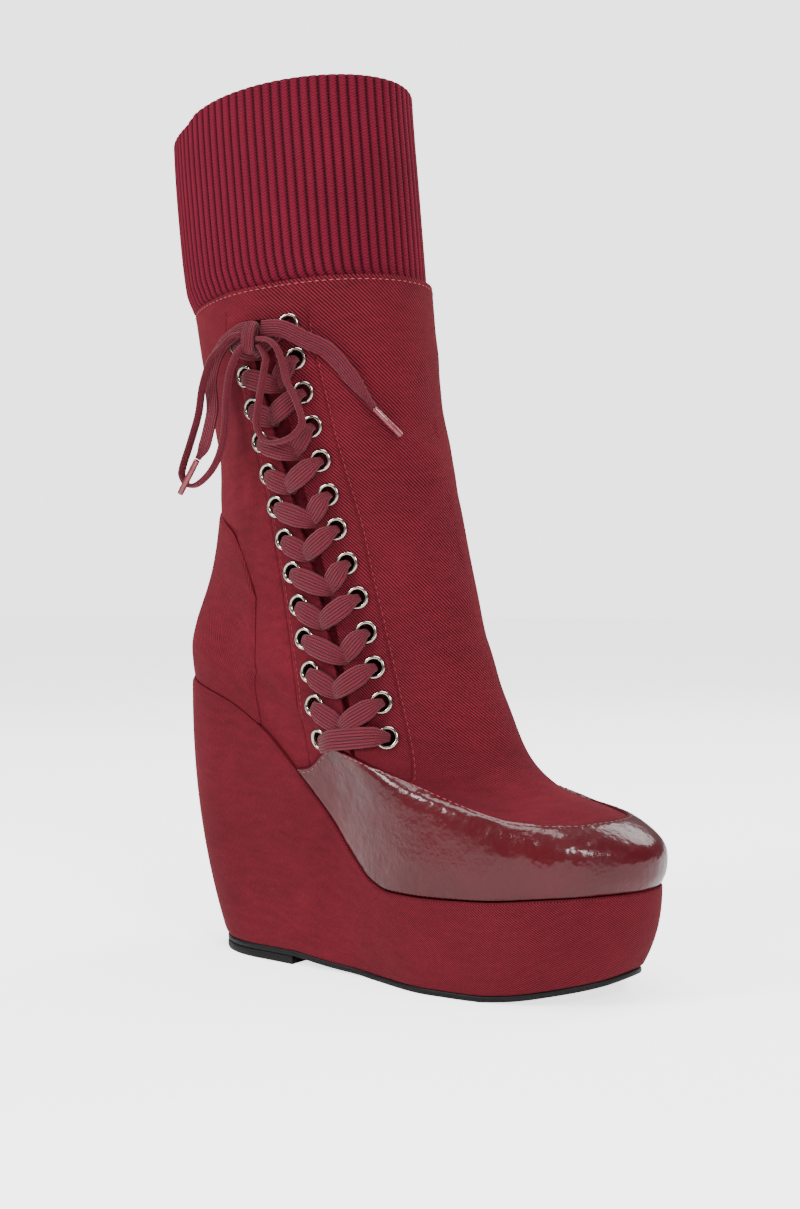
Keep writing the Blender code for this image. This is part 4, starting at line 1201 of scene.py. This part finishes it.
def insoleFoot(x):
    return seatHeight(x) + soleSizes["rest"]


def insoleTop(x):
    return insoleFoot(x) + soleSizes["insole"]


def makeSoles():
    solePlate(
        "outsole_rubber", looks["rubber"], "rubber", "outsole", outsolePoint, soleUnder, outsoleTop,
        0.35 * mm)
    solePlate(
        "heel_lift_rubber", looks["rubber"], "rubber", "heel_lift", liftPoint, ground, liftTop, 0.3 * mm)
    solePlate(
        "insole_lining", looks["lining"], "lining", "insole", insolePoint, insoleFoot, insoleTop, 0.6 * mm)


makeWedge()
makeSoles()
print("wedge and soles made")

# Knit cuff: one folded tube with raised ribs

cuffSizes = {
    "height": 86 * mm, "thickness": 3 * mm, "ribs": 78, "rows": 54, "depth": 0.75 * mm,
    "insideRows": 14, "lap": 11.69, "lapRows": 5, "rim": 0.985, "rimRoll": 0.016, "foot": 0.045,
    "nudge": 0.004, "places": 1440}
cuffSections = [
    [0.045, 0.004, 0.512, 0.484], [0.14, -.013, 0.509, 0.488], [0.55, -.036, 0.495, 0.489],
    [0.85, -.047, 0.484, 0.489], [0.985, -.050, 0.480, 0.489]]
rimWave = [
    [0.0, -.064], [0.10, -.070], [0.25, -.064], [0.34, -.028], [0.50, -.012], [0.75, -.006], [1.0, 0.0]]
ribShape = [  # share across one rib, depth of its groove
    (0.0, 1.0), (0.10, 0.75), (0.22, 0.18), (0.36, 0.03), (0.5, 0.0), (0.64, 0.03), (0.78, 0.18),
    (0.90, 0.75)]


def cuffPoint(around, rise, inset):
    level = min(rise, cuffSizes["rim"])
    values = [readTable([[row[0], row[i]] for row in cuffSections], level) for i in (1, 2, 3)]
    back, front, width = values
    backX = last["heelBack"] + back * last["length"] + inset
    frontX = last["heelBack"] + front * last["length"] - inset
    low, high = collarEnds
    share = (1 - math.cos(math.pi * around)) / 2
    x = backX + (frontX - backX) * share
    half = (width * last["collarWidth"] - inset) * 2 * math.sqrt(max(share * (1 - share), 0.0))
    z = low.z + (high.z - low.z) * share + rise * cuffSizes["height"] * (1 + readTable(rimWave, share))
    return Vector((x, half * (-1 if around <= 1 else 1) + swing(x), z))


collarEnds = (skin(0.0, collar), skin(1.0, collar))


def evenTurns(shares):  # places that stand evenly along the cuff's oval
    many = cuffSizes["places"]
    points = [cuffPoint(2.0 * k / many, 0.5, 0.0) for k in range(many + 1)]
    lengths = [0.0]
    for a, b in zip(points, points[1:]):
        lengths.append(lengths[-1] + Vector((b.x - a.x, b.y - a.y)).length)
    total = lengths[-1]
    turns, k = [], 0
    for share in shares:
        goal = share * total
        while lengths[k + 1] < goal and k < many - 1:
            k += 1
        part = (goal - lengths[k]) / max(lengths[k + 1] - lengths[k], last["tiny"])
        turns.append(2.0 * (k + min(max(part, 0.0), 1.0)) / many)
    return turns, total


def makeCuff():
    sizes = cuffSizes
    shares, depths = [], []
    for rib in range(sizes["ribs"]):
        for share, depth in ribShape:
            shares.append((rib + share) / sizes["ribs"])
            depths.append(depth)
    shares.append(1.0)
    depths.append(depths[0])
    turns, total = evenTurns(shares)
    turns[0], turns[-1] = 0.0, 2.0
    thickness = sizes["thickness"]
    profile = []  # rise, inset, how far the ribs stand out
    for r in range(sizes["rows"] + 1):
        profile.append((sizes["rim"] * r / sizes["rows"], 0.0, 1.0))
    for k in range(1, 8):  # the rim rolls over
        turn = math.pi * k / 8
        rise = sizes["rim"] + sizes["rimRoll"] * math.sin(turn)
        profile.append((rise, thickness * (1 - math.cos(turn)) / 2, 1.0 - 0.7 * k / 8))
    for r in range(sizes["insideRows"] + 1):
        profile.append((sizes["rim"] * (1 - r / sizes["insideRows"]), thickness, 0.3))
    # grooves: how much shade the knit material paints into the grooves at each point, full on the outer
    # ribs, less over the rim and inside
    rows, grooves = [], []
    lapStep = (collar - sizes["lap"]) / sizes["lapRows"]
    lap = [sizes["lap"] + lapStep * r for r in range(sizes["lapRows"])]
    for v in lap:
        rows.append([offSkin(a, v, -last["wall"] - last["clearance"]) for a in turns])
        grooves.append(depths)
    for rise, inset, stand in profile:
        row = []
        for turn, depth in zip(turns, depths):
            point = cuffPoint(turn, rise, inset)
            ahead = cuffPoint((turn + sizes["nudge"]) % 2, rise, inset)
            behind = cuffPoint((turn - sizes["nudge"]) % 2, rise, inset)
            way = Vector((ahead.x - behind.x, ahead.y - behind.y, 0)).normalized()
            normal = Vector((way.y, -way.x, 0))
            row.append(point - outOf(normal, point) * (sizes["depth"] * depth * stand))
        if rise < sizes["foot"] and inset == 0.0:
            share = rise / sizes["foot"]
            base = [offSkin(a, float(collar), -last["wall"] - last["clearance"]) for a in turns]
            row = [b.lerp(p, smooth(share)) for b, p in zip(base, row)]
        rows.append(row)
        grooves.append([depth * stand for depth in depths])
    for v in lap[::-1]:
        rows.append([offSkin(a, v, -last["wall"] - last["clearance"] - thickness) for a in turns])
        grooves.append([0.0] * len(turns))
    alongRows, upColumns = arcLengths(rows)

    def place(s, t):
        return rows[t][s], (shares[s] * total, upColumns[t][s]), grooves[t][s]

    piece = layGrid("cuff_rib_knit", len(turns) - 1, len(rows) - 1, place, ("grooveDepth",))
    mergeSeams(piece, 0.002 * mm)
    shadeSoft(piece, 80)
    return attach(piece, looks["knit"], "knit", "knit_cuff")


def outOf(normal, point):
    centre = Vector(((collarEnds[0].x + collarEnds[1].x) / 2, 0, point.z))
    return normal if normal.dot(point - centre) > 0 else -normal


makeCuff()
print("cuff made")

# Eyelets: one turned ring each, its bore open

eyeletProfile = [  # radius and height in mm, from the foot of the barrel up and over the flange
    (3.12, -2.2), (3.15, 0.1), (3.4, 0.42), (4.45, 0.40), (4.68, 0.50), (4.70, 0.72), (4.50, 0.96),
    (4.15, 1.10), (3.75, 1.06), (3.40, 0.80), (3.12, 0.2), (2.95, -2.2)]
eyeletSides = 36


def makeEyelets():
    for node, _, _, centre, out in seats:
        turn = out.to_track_quat("Z", "X").to_matrix()

        def place(s, t):
            radius, height = eyeletProfile[t % len(eyeletProfile)]
            angle = 2 * math.pi * s / eyeletSides
            local = Vector((radius * math.cos(angle), radius * math.sin(angle), height)) * mm
            return centre + turn @ local, (s / eyeletSides, t / len(eyeletProfile))

        piece = layGrid(node + "_ring", eyeletSides, len(eyeletProfile), place)
        mergeSeams(piece)
        shadeSoft(piece, 40)
        attach(piece, looks["nickel"], "nickel", node)


makeEyelets()
print("eyelets made")

# The lacing: each strip comes out of its eyelet and runs down across the slit

strip = {
    "foot": 0.246, "climb": 0.687, "drop": 0.84, "topReach": 5.5 * mm, "underStop": 1.0 * mm,
    "lying": lacing["step"] + 0.9 * mm + 0.75 * mm, "riding": 1.2 * mm, "steps": 22, "barSteps": 30,
    "barThick": 1.3}
stripShape = [  # share of the way, share of the width, height of the top strip and of the one under it
    (0.00, 0.40, -1.6, -1.6), (0.05, 0.50, 0.2, 0.2), (0.12, 0.68, 0.95, 0.95), (0.30, 0.98, 1.25, 0.90),
    (0.55, 1.00, 1.15, 0.10), (0.80, 0.80, 0.30, -0.8), (0.92, 0.56, -0.9, -1.6), (1.00, 0.34, -2.2, -2.6)]
barShape = [  # share of the way, height, share of the width
    (0.0, -1.6, 0.40), (0.05, 0.3, 0.6), (0.14, 1.0, 0.9), (0.5, 0.4, 1.02), (0.86, 1.0, 0.9),
    (0.95, 0.3, 0.6), (1.0, -1.6, 0.40)]


def columnRead(table, share, column):
    return readTable([[row[0], row[column]] for row in table], share)


def layStrip(name, start, goal, onTop, node):
    points, acrosses, widths, thick = [], [], [], []
    way = Vector((goal[0] - start[0], 0, goal[1] - start[1]))
    for k in range(strip["steps"] + 1):
        share = (k / strip["steps"]) ** 1.15
        x, z = start[0] + way.x * share, start[1] + way.z * share
        height = strip["lying"] + strip["riding"] * columnRead(stripShape, share, 2 if onTop else 3)
        point, out = overSkin(x, z, height)
        points.append(point)
        acrosses.append(out.cross(way))
        widths.append(lace["width"] * columnRead(stripShape, share, 1))
        thick.append(lace["thickness"] * (1.1 + 0.55 * math.sin(math.pi * min(share * 1.1, 1.0))))
    piece = sweepLace(name, points, acrosses, widths, thick)
    attach(piece, looks["lace"], "lace", *([node] if node else []))


def layBar(rear, front):
    points, acrosses, widths, thick = [], [], [], []
    for k in range(strip["barSteps"] + 1):
        even = k / strip["barSteps"]
        share = smooth(even) * 0.4 + even * 0.6
        x, z = rear[0] + (front[0] - rear[0]) * share, rear[1] + (front[1] - rear[1]) * share
        rise = columnRead(barShape, share, 1)
        points.append(overSkin(x, z, strip["lying"] + strip["riding"] * rise)[0])
        acrosses.append(Vector((0, 0, 1)))
        widths.append(lace["width"] * columnRead(barShape, share, 2))
        thick.append(lace["thickness"] * strip["barThick"])
    piece = sweepLace("lace_bar", points, acrosses, widths, thick)
    attach(piece, looks["lace"], "lace")


def layLacing():
    places = {(side, level): (centre.x, centre.z) for _, side, level, centre, _ in seats}
    for level in range(1, lacing["levels"]):
        share = strip["foot"] + strip["climb"] * (level - strip["drop"]) / (lacing["levels"] - 1)
        z = last["platformHeight"] + share * last["shaftFront"]
        x = lineX(slitLine, z)
        frontOnTop = level <= 2 or level % 2 == 0
        sign, topSide, underSide = (1, "front", "rear") if frontOnTop else (-1, "rear", "front")
        overEnd = (x - sign * strip["topReach"], z)
        underEnd = (x - sign * strip["underStop"], z)
        node = f"lace_crossing_{level:02d}"
        layStrip(f"lace_over_{level:02d}", places[topSide, level], overEnd, True, node)
        layStrip(f"lace_under_{level:02d}", places[underSide, level], underEnd, False, None)
    layBar(places["rear", 0], places["front", 0])


layLacing()
print("lacing laid")

# Seam stitches, one joined run for each seam

stitch = {
    "long": 1.9 * mm, "radius": 0.17 * mm, "lift": 0.1 * mm, "spacing": 2.9 * mm, "edgeIn": 2.1 * mm,
    "edgeSteps": 240, "edgeMargin": 0.012, "edgeSink": 0.2 * mm, "slopeSpan": 0.2,
    "collarSteps": 160, "collarBelow": 0.045, "collarSpacing": 3.0 * mm, "seamSteps": 120,
    "seamLow": 4.35, "seamHigh": 11.55, "frontIn": 0.9 * mm, "rearIn": 2.6 * mm, "onCloth": 0.05 * mm}


def stitchRun(name, route, spacing, look):
    places, carried = [], 0.0
    for (a, outA), (b, outB) in zip(route, route[1:]):
        gap = (b - a).length
        while carried < gap:
            share = carried / gap
            places.append((a.lerp(b, share), (b - a).normalized(), outA.lerp(outB, share).normalized()))
            carried += spacing
        carried -= gap
    made = []
    for centre, along, out in places:
        clearSelection()
        if not made:
            bpy.ops.mesh.primitive_uv_sphere_add(segments=8, ring_count=5, radius=1.0)
            thread = bpy.context.active_object
            model = thread.data.copy()
        else:
            thread = bpy.data.objects.new(name, model.copy())
            bpy.context.scene.collection.objects.link(thread)
        side = out.cross(along).normalized()
        turn = Matrix((along, side, along.cross(side))).transposed().to_4x4()
        size = Matrix.Diagonal((stitch["long"] / 2, stitch["radius"] * 1.2, stitch["radius"], 1.0))
        thread.data.transform(Matrix.Translation(centre + out * stitch["lift"]) @ turn @ size)
        made.append(thread)
    clearSelection()
    for thread in made:
        thread.select_set(True)
    bpy.context.view_layer.objects.active = made[0]
    bpy.ops.object.join()
    piece = bpy.context.active_object
    piece.name = name
    shadeSoft(piece, 60)
    attach(piece, look, "lace")


def skinRoute(spots, height):
    return [(offSkin(a, v, height), outward(a, v)) for a, v in spots]


def sewSeams():
    start = mudguardEdge[0][0] + stitch["edgeMargin"]
    edge = []
    for k in range(stitch["edgeSteps"] + 1):
        around = start + (2 - 2 * start) * k / stitch["edgeSteps"]
        top = edgeSection(around)
        slope = (skin(around, top) - skin(around, top - stitch["slopeSpan"])).length / stitch["slopeSpan"]
        edge.append((around, max(top - stitch["edgeIn"] / max(slope, last["tiny"]), 0.1)))
    onPatent = last["clearance"] + mudguardSizes["thickness"] - stitch["edgeSink"]
    stitchRun("mudguard_stitches", skinRoute(edge, onPatent), stitch["spacing"], looks["paleThread"])
    collarRun = [
        (2.0 * k / stitch["collarSteps"], collar - stitch["collarBelow"])
        for k in range(stitch["collarSteps"] + 1)]
    collarRoute = skinRoute(collarRun, stitch["onCloth"])
    stitchRun("collar_stitches", collarRoute, stitch["collarSpacing"], looks["paleThread"])
    front, rear = [], []
    for k in range(stitch["seamSteps"] + 1):
        v = stitch["seamLow"] + (stitch["seamHigh"] - stitch["seamLow"]) * k / stitch["seamSteps"]
        front.append((aroundAt(frontSeamLine, v, stitch["frontIn"]), v))
        rear.append((aroundAt(rearGrooveLine, v, stitch["rearIn"]), v))
    frontRoute, rearRoute = skinRoute(front, stitch["onCloth"]), skinRoute(rear, lacing["step"])
    stitchRun("front_seam_stitches", frontRoute, stitch["spacing"], looks["thread"])
    stitchRun("rear_seam_stitches", rearRoute, stitch["spacing"], looks["thread"])


sewSeams()
print("seams sewn")

# Studio: a pale floor and soft lights

studio = {
    "floorSize": 30.0, "floorTint": (0.93, 0.93, 0.93, 1.0), "floorGlow": 0.85, "world": 0.62,
    "horizon": 2.9, "mirrored": 0.14, "mirroredFloor": 0.0, "seenFloor": 1.3,
    "lights": [  # place, size, watts
        ((-0.55, -1.25, 1.05), 0.55, 22.0), ((1.25, -0.75, 0.95), 0.5, 17.0),
        ((0.35, 1.3, 1.3), 1.0, 15.0), ((0.1, -0.2, 1.9), 1.1, 26.0)],
    "aim": (0.04, 0.0, 0.16)}


def dressStudio():
    clearSelection()
    bpy.ops.mesh.primitive_plane_add(size=studio["floorSize"], location=(0, 0, -0.00005))
    floor = bpy.context.active_object
    floor.name = "studioFloor"
    bpy.ops.object.transform_apply(location=True)
    look, tree, shader = newLook("paleFloor", studio["floorTint"], 0.9, specular=0.0)
    shader.inputs["Emission Color"].default_value = (1.0, 1.0, 1.0, 1.0)
    path = addNode(tree, "ShaderNodeLightPath").outputs
    dimmer = calc(tree, "MULTIPLY", path["Is Glossy Ray"], studio["mirroredFloor"] - studio["floorGlow"])
    seen = calc(tree, "MULTIPLY", path["Is Camera Ray"], studio["seenFloor"])
    glow = calc(tree, "ADD", calc(tree, "ADD", dimmer, seen), studio["floorGlow"])
    tree.links.new(glow, shader.inputs["Emission Strength"])
    floor.data.materials.append(look)
    world = bpy.data.worlds.new("studioWorld")
    world.use_nodes = True
    background = world.node_tree.nodes["Background"]
    background.inputs["Color"].default_value = (1.0, 1.0, 1.0, 1.0)
    sky = world.node_tree
    path = addNode(sky, "ShaderNodeLightPath").outputs
    brighter = calc(sky, "MULTIPLY", path["Is Camera Ray"], studio["horizon"] - studio["world"])
    mirrored = calc(sky, "MULTIPLY", path["Is Glossy Ray"], studio["mirrored"] - studio["world"])
    strength = calc(sky, "ADD", calc(sky, "ADD", brighter, mirrored), studio["world"])
    sky.links.new(strength, background.inputs["Strength"])
    bpy.context.scene.world = world
    for place, size, watts in studio["lights"]:
        bpy.ops.object.light_add(type="AREA", location=place)
        light = bpy.context.active_object
        light.data.shape = "DISK"
        light.data.size = size
        light.data.energy = watts
        way = Vector(studio["aim"]) - Vector(place)
        light.rotation_euler = way.to_track_quat("-Z", "Y").to_euler()


dressStudio()
print("studio dressed")
